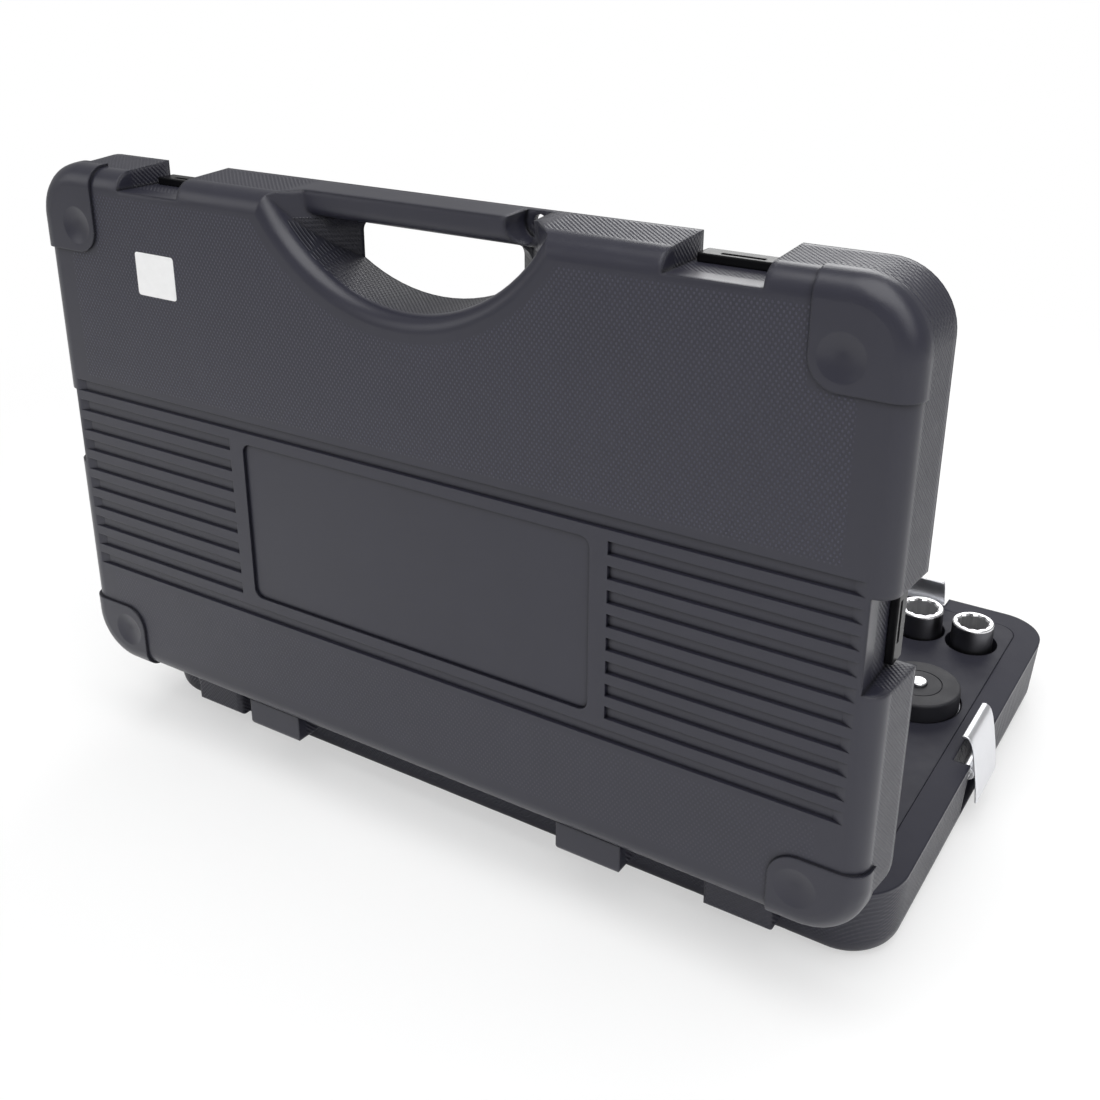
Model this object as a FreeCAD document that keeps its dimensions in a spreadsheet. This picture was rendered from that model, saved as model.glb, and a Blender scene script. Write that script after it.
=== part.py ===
import FreeCAD, Part
import math
import os
import re

import Sketcher
from FreeCAD import Placement, Rotation, Vector

# A three-quarter-inch drive socket set in a moulded case, in millimetres.
# World frame: +Z up, X along the hinge, the hinge at +Y, the carrying handle at -Y.
# The origin is the centre of the base's underside, and the lid stands open.

SIZES = [
    # Case halves
    ("case_width", 560, "across the latches at the sides, at the parting line"),
    ("case_depth", 342, "front wall to rear wall, at the parting line"),
    ("lid_height", 42, "parting line to the lid's outer face"),
    ("base_height", 50, "parting line to the base's underside"),
    ("parting_gap", 0.3, "left between the rims when the case is shut"),
    ("draft_angle", 4, "slope of the moulded walls, degrees"),
    ("corner_radius", 32, "plan radius of the case's corners"),
    ("edge_round", 12, "round between the outer face and the walls"),
    ("shell_wall", 4, "thickness of the moulded wall"),
    ("rim_width", 18, "flat rim from the outer wall to the seam of the insert"),
    ("insert_gap", 0.3, "clearance round the tray and the liner"),
    ("insert_wall", 2.5, "thickness of the tray and the liner"),
    ("insert_corner", 14, "plan radius of the seam's corners"),
    ("overshoot", 10, "deep cuts past the faces that they open"),
    ("overlap", 1, "shallow cuts past a face, and joined bodies into each other"),
    # Hinge
    ("open_angle", 88, "lid from shut to its stop, degrees"),
    ("hinge_setback", 5, "hinge axis behind the rear walls"),
    ("hinge_pin_radius", 2, "steel pin"),
    ("pin_clearance", 0.05, "running clearance round a pin"),
    ("knuckle_radius", 4.6, "barrel round the hinge pin"),
    ("knuckle_reach", 16, "hinge block behind the rear wall"),
    ("knuckle_round", 4, "rounded edges of the hinge blocks"),
    ("knuckle_width", 42, "hinge block along the axis"),
    ("knuckle_skin", 0.5, "wall left inside the root of a hinge block"),
    ("lid_knuckle_start", 98, "inner end of a lid block from the middle"),
    ("lid_knuckle_rise", 36.5, "lid block above the parting line"),
    ("base_knuckle_start", 178.5, "inner end of a base block from the middle"),
    ("base_knuckle_drop", 32, "base block below the parting line"),
    # Corner caps of the lid
    ("cap_rise", 1.5, "cap proud of the lid's faces"),
    ("cap_depth", 15, "cap below the lid's outer face"),
    ("cap_side", 51, "cap from the side wall"),
    ("cap_front", 53, "front cap from the front wall"),
    ("cap_rear", 45, "rear cap from the rear wall"),
    ("cap_corner", 15, "round of the cap's inner corner"),
    ("dimple_width", 23, "shallow dish in each cap"),
    ("dimple_depth", 2.2, "depth of that dish"),
    ("dimple_side", 35.7, "dish centre from the side wall"),
    ("dimple_front", 37, "front dish centre from the front wall"),
    ("dimple_rear", 27, "rear dish centre from the rear wall"),
    # Ribbed band and centre panel of the lid
    ("groove_start", 138.4, "first groove from the front wall"),
    ("groove_pitch", 13.7, "from groove to groove"),
    ("groove_height", 7.6, "width of a groove"),
    ("groove_depth", 2, "depth of a groove"),
    ("groove_slope", 0.5, "draw of a groove's long walls"),
    ("groove_inner", 131.2, "inner end of the short grooves from the middle"),
    ("groove_margin", 15, "outer end of the grooves from the side wall"),
    ("groove_ramp", 6, "run-out at the outer end of a groove"),
    ("panel_width", 241.4, "sunk centre panel, along the case"),
    ("panel_start", 152.9, "panel from the front wall"),
    ("panel_length", 102.1, "panel, front to rear"),
    ("panel_depth", 1.8, "panel below the lid's face"),
    ("panel_corner", 6, "round of the panel's corners"),
    # Carrying handle
    ("bowl_radius", 114, "hand bowl at the outer face"),
    ("bowl_offset", 48.8, "centre of the bowl's round in front of the front wall"),
    ("bowl_lip", 9, "rolled lip of the bowl"),
    ("bowl_draw", 1.5, "narrowing of the bowl down to the parting line"),
    ("bowl_outer_half", 98, "half length of the bowl at the outer face"),
    ("bowl_inner_half", 53, "half length of the hand hole at the parting line"),
    ("grip_width", 16, "grip bar, front to rear"),
    ("grip_setback", 20, "grip bar below the outer face"),
    ("hole_corner", 9, "rounded ends of the hand hole at the grip"),
    ("hole_ledge", 2, "flat of the bar's back above those rounds"),
    ("grip_round", 6, "rounded edges of the grip bar"),
    ("lock_side", 66, "padlock hole from the middle"),
    ("lock_inset", 5.8, "padlock hole from the front wall"),
    ("lock_recess_radius", 9, "recess over the padlock hole"),
    ("lock_hole_radius", 3.8, "padlock hole"),
    # Latches
    ("front_latch_inset", 99, "front latches from the side walls"),
    ("latch_width", 43, "sheet-metal latch"),
    ("latch_sheet", 1.5, "thickness of the latch"),
    ("latch_side_gap", 3.5, "latch to the end of its recess"),
    ("catch_depth", 12.5, "latch recess of the lid"),
    ("catch_thickness", 4.5, "catch standing in that recess"),
    ("catch_height", 13, "catch above the parting line"),
    ("catch_end_gap", 3, "catch to the end of the recess"),
    ("well_depth", 11, "latch recess of the base"),
    ("well_drop", 38, "base recess below the parting line"),
    ("latch_pin_radius", 2, "steel pin of the latch"),
    ("latch_pin_inset", 2.5, "latch pin inside the wall's plane"),
    ("latch_pin_drop", 9, "latch pin below the parting line"),
    ("latch_pin_bite", 2.5, "latch pin in the moulding at each end"),
    ("latch_barrel_radius", 4.5, "rolled eye of the latch"),
    ("hook_height", 14.6, "underside of the hook above the parting line"),
    ("hook_reach", 7.3, "hook tip inside the wall's plane"),
    ("hook_tip", 1, "thickness of the hook's tip"),
    ("crest_inset", 2.5, "crest of the hook inside the wall's plane"),
    ("crest_rise", 2.4, "crest above the hook's underside"),
    ("shoulder_out", 0.6, "top bend of the plate outside the wall's plane"),
    ("shoulder_drop", 1, "top bend below the hook's underside"),
    ("plate_out", 1.6, "plate outside the wall's plane at the parting line"),
    ("waist_out", 2.6, "plate outside the wall's plane over the pin"),
    ("waist_rise", 3, "that place above the pin"),
    ("flare_out", 4.4, "plate outside the wall's plane under the pin"),
    ("flare_drop", 5, "that place below the pin"),
    ("tab_bend", 0.6, "bend of the finger tab inside its end"),
    ("tab_drop", 13, "that bend below the pin"),
    ("latch_tail_drop", 29, "end of the finger tab below the parting line"),
    ("latch_tail_out", 8.5, "finger tab outside the wall's plane"),
    # Paper label on the lid
    ("label_width", 32, "paper label"),
    ("label_length", 26, "paper label, front to rear"),
    ("label_thickness", 0.15, "paper label"),
    ("label_side", 180, "label centre from the middle"),
    ("label_front", 60, "label centre from the front wall"),
    # Sockets
    ("drive_square", 19, "square of the drive"),
    ("drive_clearance", 0.15, "female square round a male one, each side"),
    ("drive_hole_depth", 23, "female square"),
    ("drive_end_diameter", 34, "drive end of every socket"),
    ("drive_end_length", 25, "drive end of every socket"),
    ("socket_shoulder", 4, "taper between the drive end and the nut end"),
    ("socket_wall_ratio", 1.3, "nut end diameter per millimetre across flats"),
    ("socket_wall_base", 4.2, "nut end diameter added to that"),
    ("socket_length_ratio", 0.5, "socket length per millimetre across flats"),
    ("socket_length_base", 42, "socket length added to that"),
    ("socket_chamfer", 1.2, "chamfer at the rim of the nut end"),
    ("nut_floor", 2, "bottom of the nut hole above the shoulder"),
    ("nut_clearance", 0.2, "nut hole over its nominal size"),
    ("pocket_clearance", 1, "tray pocket round a tool"),
    ("pocket_spacing", 1.5, "tray left between two pockets"),
    ("seat_gap", 0.3, "tool above the floor of its pocket"),
    ("socket_sink", 35, "socket below the tray's top"),
    ("front_row_inset", 35, "front row of sockets from the seam"),
    ("rear_row_inset", 41, "rear row of sockets from the seam"),
    ("left_margin", 7, "first socket at the left end to the seam"),
    ("right_margin", 12, "first socket at the right end to the seam"),
    # Extension bars
    ("extension_y", 40, "row of the extension bars"),
    ("extension_end_inset", 6, "first extension bar from the seam"),
    ("extension_sink", 6, "axis of the bars below the tray's top"),
    ("extension_radius", 10.5, "shaft of an extension bar"),
    ("extension_head_radius", 17.5, "female end of an extension bar"),
    ("extension_head_length", 40, "female end of an extension bar"),
    ("extension_tip", 22, "male square of an extension bar"),
    ("tip_root", 5, "male square into the shaft"),
    ("extension_long_length", 200, "long extension bar"),
    ("extension_short_length", 100, "short extension bar"),
    # Ratchet
    ("ratchet_y", -29, "line of the ratchet in the tray"),
    ("ratchet_end_inset", 34, "centre of the head from the seam"),
    ("ratchet_rise", 12, "dial above the tray's top"),
    ("ratchet_length", 440, "centre of the head to the end of the grip"),
    ("head_radius", 28, "ratchet head"),
    ("head_thickness", 22, "ratchet head without its dial"),
    ("head_web", 3, "top of the head over the gear"),
    ("dial_thickness", 13, "reversing dial"),
    ("dial_radius", 27.5, "reversing dial"),
    ("dial_ring_radius", 15, "ring line on the dial"),
    ("dial_ring_width", 0.8, "ring line on the dial"),
    ("dial_ring_depth", 0.6, "ring line on the dial"),
    ("slip_gap", 0.3, "between the ratchet's turning faces"),
    ("gear_radius", 18, "tips of the gear's teeth"),
    ("gear_tooth", 1.2, "height of a tooth"),
    ("gear_teeth", 36, "number of teeth"),
    ("gear_thickness", 15, "toothed part of the gear"),
    ("gear_room", 1.5, "bore of the head round the gear"),
    ("gear_neck_radius", 14, "round neck above the drive square"),
    ("gear_neck_drop", 1, "that neck below the head"),
    ("gear_bore_floor", 2, "bottom of the gear's bore above its lower face"),
    ("drive_length", 19, "drive square of the ratchet"),
    ("drive_room", 0.75, "radius of the drive's pocket per millimetre of its square"),
    ("cover_radius", 25, "cover plate under the head"),
    ("cover_thickness", 2, "cover plate under the head"),
    ("screw_circle", 22.2, "cover screws from the head's centre"),
    ("screw_head_radius", 2.2, "cover screws"),
    ("screw_shank_radius", 1.2, "cover screws"),
    ("screw_length", 9, "cover screws under the head"),
    ("screw_count", 3, "cover screws"),
    ("screw_spread", 90, "angle from screw to screw, degrees"),
    ("button_radius", 5.5, "quick-release button"),
    ("button_rise", 2.5, "button proud of the dial, and its travel"),
    ("button_height", 5, "head of the button"),
    ("button_stem_radius", 3, "stem of the button"),
    ("button_stem_length", 22, "stem below the button's head"),
    ("pawl_radius", 3.1, "pawl"),
    ("pawl_flat", 2.7, "flat of the pawl from its axis"),
    ("pawl_offset", 21.5, "axis of the pawl from the head's centre"),
    ("ball_radius", 2, "detent ball"),
    ("ball_sink", 1, "centre of the ball inside the square's face"),
    ("ball_height", 8, "ball above the end of the square"),
    ("handle_drop", 11, "handle axis above the bottom of the head"),
    ("neck_radius", 10.5, "neck of the head"),
    ("neck_length", 60, "end of the neck from the head's centre"),
    ("shaft_radius", 7.5, "handle shaft"),
    ("shaft_bite", 26, "handle shaft inside the neck"),
    ("grip_radius", 15, "grip sleeve"),
    ("grip_length", 140, "grip sleeve"),
    ("grip_end", 5, "closed end of the grip sleeve"),
]

SOCKETS_FRONT_LEFT = [19, 21, 22]
SOCKETS_FRONT_RIGHT = [30, 27]
SOCKETS_REAR = [46, 41, 38, 36, 34, 32, 24]
for nut in SOCKETS_FRONT_LEFT + SOCKETS_FRONT_RIGHT + SOCKETS_REAR:
    SIZES.append(("across_flats_%d" % nut, nut, "socket across flats"))

GROOVE_ROWS = 10
NAMES = {alias for alias, size, meaning in SIZES}

doc = FreeCAD.newDocument("socket_set")
sheet = doc.addObject("Spreadsheet::Sheet", "sizes")
for line, (alias, size, meaning) in enumerate(SIZES, start=1):
    sheet.set("A%d" % line, meaning)
    sheet.set("B%d" % line, str(size))
    sheet.setAlias("B%d" % line, alias)
doc.recompute()

NODES = []


def formula(text):
    """A formula in plain size names, with each name pointed at the sheet."""
    def point(match):
        word = match.group(0)
        return "sizes." + word if word in NAMES else word
    return re.sub(r"[a-z][a-z0-9_]*", point, text)


def bind(item, **texts):
    """Bind properties to formulas."""
    for prop, text in texts.items():
        item.setExpression(prop, formula(text))
    return item


def put(item, x="0", y="0", z="0"):
    """Bind a placement's position to formulas."""
    for axis, text in (("x", x), ("y", y), ("z", z)):
        item.setExpression("Placement.Base." + axis, formula(text))
    return item


TURNS = {
    "z": Rotation(),
    "x": Rotation(Vector(0, 1, 0), 90),
    "y": Rotation(Vector(1, 0, 0), -90),
}


def block(name, x, y, z):
    """A box from three pairs of formulas: its low and high side along each axis."""
    item = doc.addObject("Part::Box", name)
    sides = {"Length": x, "Width": y, "Height": z}
    bind(item, **{prop: "(%s) - (%s)" % (high, low) for prop, (low, high) in sides.items()})
    return put(item, x[0], y[0], z[0])


def rod(name, radius, length, x="0", y="0", z="0", along="z"):
    """A cylinder that starts at a point and runs along an axis."""
    item = doc.addObject("Part::Cylinder", name)
    item.Placement = Placement(Vector(), TURNS[along])
    bind(item, Radius=radius, Height=length)
    return put(item, x, y, z)


def cone(name, low, high, length, z):
    item = doc.addObject("Part::Cone", name)
    bind(item, Radius1=low, Radius2=high, Height=length)
    return put(item, z=z)


def ball(name, radius, x, y, z):
    item = doc.addObject("Part::Sphere", name)
    bind(item, Radius=radius)
    return put(item, x, y, z)


def fuse(name, items):
    item = doc.addObject("Part::MultiFuse", name)
    item.Shapes = items
    return item


def cut(name, base, tools):
    """Take tools out of a base, one after the other; the last cut carries the name."""
    for i, tool in enumerate(tools, start=1):
        item = doc.addObject("Part::Cut", name if i == len(tools) else "%s_cut_%d" % (name, i))
        item.Base = base
        item.Tool = tool
        base = item
    return base


def common(name, first, second):
    item = doc.addObject("Part::Common", name)
    item.Base = first
    item.Tool = second
    return item


def group(name, items):
    """Separate solids that share one node."""
    item = doc.addObject("Part::Compound", name)
    item.Links = items
    return item


def on_plane(body, role, name):
    """An empty sketch on one of a body's origin planes."""
    sketch = body.newObject("Sketcher::SketchObject", name)
    support = next(item for item in body.Origin.OriginFeatures if item.Role == role)
    sketch.AttachmentSupport = (support, [""])
    sketch.MapMode = "FlatFace"
    return sketch


def fix(sketch, edge, end, start, x=None, y=None):
    """Bind a point of a sketch to formulas for its distances from the origin."""
    for kind, value, text in (("DistanceX", start.x, x), ("DistanceY", start.y, y)):
        if text is not None:
            index = sketch.addConstraint(Sketcher.Constraint(kind, -1, 1, edge, end, value))
            sketch.setExpression("Constraints[%d]" % index, formula(text))


def outline(body, plane, points, offset="0"):
    """A closed polygon on an origin plane, each corner bound to a pair of formulas."""
    sketch = on_plane(body, plane, body.Name + "_outline")
    sketch.setExpression("AttachmentOffset.Base.z", formula(offset))
    count = len(points)
    turn = 2 * math.pi / count
    start = [Vector(10 * math.cos(i * turn), 10 * math.sin(i * turn), 0) for i in range(count)]
    for i in range(count):
        sketch.addGeometry(Part.LineSegment(start[i], start[(i + 1) % count]))
    for i in range(count):
        sketch.addConstraint(Sketcher.Constraint("Coincident", i, 2, (i + 1) % count, 1))
    for i, (x, y) in enumerate(points):
        fix(sketch, i, 1, start[i], x, y)
    return sketch


def pad(body, sketch, length, taper="0", both_ways=False):
    feature = body.newObject("PartDesign::Pad", body.Name + "_pad")
    feature.Profile = sketch
    bind(feature, Length=length, TaperAngle=taper)
    if both_ways:
        feature.SideType = "Symmetric"
    body.recompute(True)
    return feature


def rounded(body, base, radius, wanted):
    """Fillet the edges of a feature that a test picks out."""
    feature = body.newObject("PartDesign::Fillet", body.Name + "_round")
    edges = ["Edge%d" % i for i, edge in enumerate(base.Shape.Edges, start=1) if wanted(edge)]
    feature.Base = (base, edges)
    bind(feature, Radius=radius)
    body.recompute(True)
    return feature


def spans_height(edge):
    """True for an edge that climbs, such as the corner of a block."""
    return abs(edge.Vertexes[0].Z - edge.Vertexes[-1].Z) > edge.Length / 2


def slab(name, x, y, z, corner, taper="0", edge=None):
    """A block with rounded corners, drafted from its low side, its far edge rounded on request."""
    body = doc.addObject("PartDesign::Body", name)
    corners = [(x[0], y[0]), (x[1], y[0]), (x[1], y[1]), (x[0], y[1])]
    feature = pad(body, outline(body, "XY_Plane", corners, z[0]), "(%s) - (%s)" % (z[1], z[0]), taper)
    feature = rounded(body, feature, corner, spans_height)
    if edge:
        top = max(vertex.Z for vertex in feature.Shape.Vertexes)
        rounded(body, feature, edge, lambda item: min(v.Z for v in item.Vertexes) > top - 1e-3)
    return body


def profile(name, plane, points, length, offset="0", both_ways=False, round_edges=None):
    """A polygon drawn on an origin plane and carried along the plane's normal."""
    body = doc.addObject("PartDesign::Body", name)
    feature = pad(body, outline(body, plane, points, offset), length, both_ways=both_ways)
    if round_edges:
        rounded(body, feature, *round_edges)
    return body


def node(item, label, on_lid=False, on_base=False):
    """Name a finished piece, and set a piece drawn in a half's own frame where that half lies."""
    item.Label = label
    hinge_y = "case_depth / 2 + hinge_setback"
    if on_lid:
        item.Placement = Placement(Vector(), Rotation(Vector(-1, 0, 0), 1))
        item.setExpression("Placement.Rotation.Angle", formula("open_angle"))
        put(item, "0", hinge_y, "base_height")
    if on_base:
        item.Placement = Placement(Vector(), Rotation(Vector(0, 1, 0), 180))
        put(item, "0", hinge_y, "base_height")
    NODES.append(item)
    return item


# Case halves. A half is drawn shut, with its hinge axis along X at the origin: the rear wall is at
# minus the setback, the front wall at FRONT, and Z runs from the parting line to the outer face.

FRONT = "-(hinge_setback + case_depth)"
REAR = "-hinge_setback"
MIDDLE = "-(hinge_setback + case_depth / 2)"
HALF = "case_width / 2"
HANDLE_HALF = "(bowl_outer_half + bowl_lip + shell_wall)"
HANDLE_BACK = "(%s + bowl_radius - bowl_offset + shell_wall)" % FRONT
LATCH_X = "(%s - front_latch_inset)" % HALF
RECESS_WIDTH = "(latch_width + 2 * latch_side_gap)"


def shrunk(amount):
    """Sides of the half's outline, moved in by an amount (out, if negative)."""
    x = ("-(%s - %s)" % (HALF, amount), "%s - %s" % (HALF, amount))
    y = ("%s + %s" % (FRONT, amount), "%s - %s" % (REAR, amount))
    return x, y


def handle_zone(name, margin="0"):
    """The solid region round the hand hole, kept out of every hollow of the half."""
    half = "(%s + %s)" % (HANDLE_HALF, margin)
    y = (FRONT + " - 2 * overshoot", "%s + %s" % (HANDLE_BACK, margin))
    return block(name, ("-" + half, half), y, ("-overshoot", "base_height + lid_height"))


def recess_box(name, place, depth, z, grow="0"):
    """A box let into a wall at one of the four latch places."""
    half = "(%s / 2 + %s)" % (RECESS_WIDTH, grow)
    inward = "(%s + %s)" % (depth, grow)
    if place == "front_left" or place == "front_right":
        centre = LATCH_X if place == "front_right" else "-" + LATCH_X
        x = ("%s - %s" % (centre, half), "%s + %s" % (centre, half))
        return block(name, x, (FRONT + " - 2 * overshoot", FRONT + " + " + inward), z)
    y = ("%s - %s" % (MIDDLE, half), "%s + %s" % (MIDDLE, half))
    if place == "side_right":
        return block(name, ("%s - %s" % (HALF, inward), HALF + " + 2 * overshoot"), y, z)
    return block(name, ("-(%s + 2 * overshoot)" % HALF, "-(%s - %s)" % (HALF, inward)), y, z)


PLACES = ["front_left", "front_right", "side_left", "side_right"]


def hollow(prefix, height, depth):
    """What is taken out of a half: the space behind the rim, and the opening that the rim leaves."""
    x, y = shrunk("shell_wall")
    room = slab(prefix + "_room", x, y, ("shell_wall", height + " - shell_wall"),
                "corner_radius - shell_wall", "-draft_angle", "edge_round - shell_wall")
    keep = [recess_box("%s_keep_%s" % (prefix, place), place, depth, ("-overshoot", height), "shell_wall")
            for place in PLACES]
    room = cut(prefix + "_hollow", room, [handle_zone(prefix + "_keep_handle")] + keep)
    x, y = shrunk("rim_width")
    mouth = slab(prefix + "_mouth", x, y, ("-overshoot", "2 * shell_wall"), "insert_corner")
    mouth = cut(prefix + "_opening", mouth, [handle_zone(prefix + "_keep_grip")])
    return [room, mouth]


def bowl_section(body, height):
    """Half section of the hand bowl: a steep wall that rolls over into the outer face."""
    sketch = on_plane(body, "XZ_Plane", body.Name + "_section")
    points = [Vector(0, 0, 0), Vector(8, 0, 0), Vector(9, 8, 0), Vector(12, 11, 0), Vector(12, 14, 0),
              Vector(0, 14, 0)]
    lip = Part.Circle(Vector(12, 8, 0), Vector(0, 0, 1), 3)
    lines = [Part.LineSegment(points[i], points[(i + 1) % 6]) for i in range(6)]
    lines[2] = Part.ArcOfCircle(lip, math.pi / 2, math.pi)
    for line in lines:
        sketch.addGeometry(line)
    for join in ((0, 2, 1, 1), (1, 2, 2, 2), (2, 1, 3, 1), (3, 2, 4, 1), (4, 2, 5, 1), (5, 2, 0, 1)):
        sketch.addConstraint(Sketcher.Constraint("Coincident", *join))
    level = height + " - bowl_lip"
    fix(sketch, 0, 1, points[0], "0", "-overshoot")
    fix(sketch, 1, 1, points[1], "bowl_radius - bowl_lip - bowl_draw", "-overshoot")
    fix(sketch, 2, 2, points[2], y=level)
    fix(sketch, 2, 3, Vector(12, 8, 0), "bowl_radius", level)
    fix(sketch, 3, 1, points[3], "bowl_radius", height)
    fix(sketch, 4, 1, points[4], "bowl_radius", height + " + overshoot")
    fix(sketch, 5, 1, points[5], "0", height + " + overshoot")
    return sketch


def pocket(body, name, sketch, length):
    """Take a sketch's outline out of a body, equally to both sides."""
    hole = body.newObject("PartDesign::Pocket", name)
    hole.Profile = sketch
    hole.SideType = "Symmetric"
    bind(hole, Length=length)
    body.recompute(True)
    return hole


def bowl(name, height, outside):
    """The hand bowl, turned about an upright axis in front of the case, with sloping ends.

    An outline across the case takes away what is outside the wanted part of the bowl.
    """
    body = doc.addObject("PartDesign::Body", name)
    turn = body.newObject("PartDesign::Revolution", name + "_turn")
    turn.Profile = bowl_section(body, height)
    turn.ReferenceAxis = (turn.Profile[0], ["V_Axis"])
    turn.Angle = 360
    slope = "((bowl_outer_half - bowl_inner_half) / %s)" % height
    low = "(bowl_inner_half - overshoot * %s)" % slope
    high = "(bowl_outer_half + overshoot * %s)" % slope
    far = "(2 * bowl_radius)"
    under = "-(overshoot + overlap)"
    over = height + " + overshoot + overlap"
    for side, end in ((-1, "left"), (1, "right")):
        ends = [(low, under), (high, over), (far, over), (far, under)]
        corners = [("%d * %s" % (side, x), z) for x, z in ends]
        pocket(body, "%s_end_%s" % (name, end), outline(body, "XZ_Plane", corners), "4 * bowl_radius")
    return body, pocket(body, name + "_part", outline(body, "YZ_Plane", outside), "4 * bowl_outer_half")


def is_hole_corner(edge):
    """The steep edges where the hand hole's ends meet the grip bar."""
    box = edge.BoundBox
    back = sheet.bowl_offset + sheet.grip_width
    return box.ZLength > 1 and abs(box.YMin - back) < 0.01 and abs(box.YMax - back) < 0.01


def is_bar_line(edge):
    """The level edges along the back of the grip bar."""
    box = edge.BoundBox
    back = sheet.bowl_offset + sheet.grip_width
    return box.ZLength < 0.01 and abs(box.YMin - back) < 0.01 and abs(box.YMax - back) < 0.01


def handle_cut(prefix, height, lock_x):
    """The hand bowl over the grip bar, the hand hole behind the bar, and the padlock hole beside it."""
    front = "-2 * bowl_radius"
    far = "2 * bowl_radius"
    back = "bowl_offset + grip_width"
    top = "(%s - grip_setback)" % height
    level = "(%s - grip_round - hole_ledge)" % top
    under = "-(overshoot + 2 * overlap)"
    above = height + " + overshoot + 2 * overlap"
    over = [(front, under), (far, under), (far, level), (back, level), (back, top), (front, top)]
    behind = [(front, under), (back, under), (back, level), (far, level), (far, above), (front, above)]
    scoop, shape = bowl(prefix + "_scoop", height, over)
    highest = max(edge.BoundBox.ZMin for edge in shape.Shape.Edges if is_bar_line(edge))
    rounded(scoop, shape, "grip_round",
            lambda edge: is_bar_line(edge) and edge.BoundBox.ZMin > highest - 0.01)
    hole, shape = bowl(prefix + "_hand_hole", height, behind)
    rounded(hole, shape, "hole_corner", is_hole_corner)
    for body in (scoop, hole):
        put(body, "0", FRONT + " - bowl_offset", "0")
    y = FRONT + " + lock_inset"
    recess = rod(prefix + "_lock_recess", "lock_recess_radius", height, lock_x, y, "shell_wall")
    lock = rod(prefix + "_lock_hole", "lock_hole_radius", height, lock_x, y, "-overshoot")
    return [recess, lock, scoop, hole]


def knuckles(prefix, start, rise):
    """Hinge blocks behind the rear wall, each with a barrel round the axis."""
    inner = "%s - shell_wall + knuckle_skin" % REAR
    outer = "knuckle_reach - hinge_setback"
    points = [(inner, "parting_gap"), (outer, "parting_gap"), (outer, rise), (inner, rise)]
    items = []
    for side, x in (("left", "-(%s + knuckle_width)" % start), ("right", start)):
        name = "%s_knuckle_%s" % (prefix, side)
        items.append(profile(name, "YZ_Plane", points, "knuckle_width", x,
                             round_edges=("knuckle_round", is_outer_block_edge)))
        items.append(rod(name + "_barrel", "knuckle_radius", "knuckle_width", x, along="x"))
    return items


def is_outer_block_edge(edge):
    """Edges of a hinge block's rear face, except the one at the parting line."""
    box = edge.BoundBox
    return box.YMin > 0 and box.ZMax > 1


def half_shell(prefix, height, depth, knuckle_start, knuckle_rise, lock_x, extras):
    """One moulded half without the features that only it has."""
    x, y = shrunk("0")
    blank = slab(prefix + "_blank", x, y, ("parting_gap / 2", height), "corner_radius", "-draft_angle",
                 "edge_round")
    solid = fuse(prefix + "_solid", [blank] + extras + knuckles(prefix, knuckle_start, knuckle_rise))
    span = "2 * (base_knuckle_start + knuckle_width + overlap)"
    pin = rod(prefix + "_pin_hole", "hinge_pin_radius + pin_clearance", span, "-(%s) / 2" % span, along="x")
    return solid, hollow(prefix, height, depth) + handle_cut(prefix, height, lock_x) + [pin]


def corner_caps():
    """Raised caps on the lid's corners, with a shallow dish in each."""
    x, y = shrunk("(0 - cap_rise)")
    grown = slab("cap_blank", x, y, ("parting_gap / 2", "lid_height + cap_rise"),
                 "corner_radius + cap_rise", "-draft_angle", "edge_round")
    posts = []
    dishes = []
    for side in (-1, 1):
        edge = "(%d * %s)" % (side, HALF)
        for end, line, reach, dish in (("front", FRONT, "cap_front", "dimple_front"),
                                       ("rear", REAR, "cap_rear", "dimple_rear")):
            tag = "%s_%s" % (end, "left" if side < 0 else "right")
            inward = 1 if end == "front" else -1
            x = (edge + " - cap_side", edge + " + cap_side")
            y = ("%s - %s" % (line, reach), "%s + %s" % (line, reach))
            posts.append(slab("cap_" + tag, x, y, ("lid_height - cap_depth", "lid_height + overshoot"),
                              "cap_corner"))
            round_radius = "((dimple_width ^ 2 / 4 + dimple_depth ^ 2) / (2 * dimple_depth))"
            dishes.append(ball("dish_" + tag, round_radius, "%s - %d * dimple_side" % (edge, side),
                               "%s + %d * %s" % (line, inward, dish),
                               "lid_height + cap_rise + %s - dimple_depth" % round_radius))
    return common("caps", grown, fuse("cap_posts", posts)), dishes


def groove(name, x, row):
    """A shallow channel whose floor is a little narrower than its mouth, with run-outs."""
    item = doc.addObject("Part::Wedge", name)
    item.Placement = Placement(Vector(), Rotation(Vector(1, 0, 0), 90))
    ramps = ["groove_ramp" if "groove_margin" in end else "groove_slope" for end in x]
    bind(item, Xmin="%s + %s" % (x[0], ramps[0]), Xmax="%s - %s" % (x[1], ramps[1]), X2min=x[0], X2max=x[1],
         Ymin="0", Ymax="groove_depth", Z2min="0", Z2max="groove_height",
         Zmin="groove_slope", Zmax="groove_height - groove_slope")
    y = "%s + groove_start + %d * groove_pitch + groove_height" % (FRONT, row)
    return put(item, "0", y, "lid_height - groove_depth")


def band():
    """Ribbed band across the lid: two full grooves, with short ones beside the panel between them."""
    edge = "(%s - groove_margin)" % HALF
    cuts = []
    for row in range(GROOVE_ROWS):
        if row in (0, GROOVE_ROWS - 1):
            cuts.append(groove("groove_%d" % row, ("-" + edge, edge), row))
        else:
            cuts.append(groove("groove_%d_left" % row, ("-" + edge, "-groove_inner"), row))
            cuts.append(groove("groove_%d_right" % row, ("groove_inner", edge), row))
    start = FRONT + " + panel_start"
    cuts.append(slab("panel", ("-panel_width / 2", "panel_width / 2"), (start, start + " + panel_length"),
                     ("lid_height - panel_depth", "lid_height + overlap"), "panel_corner"))
    return cuts


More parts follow.
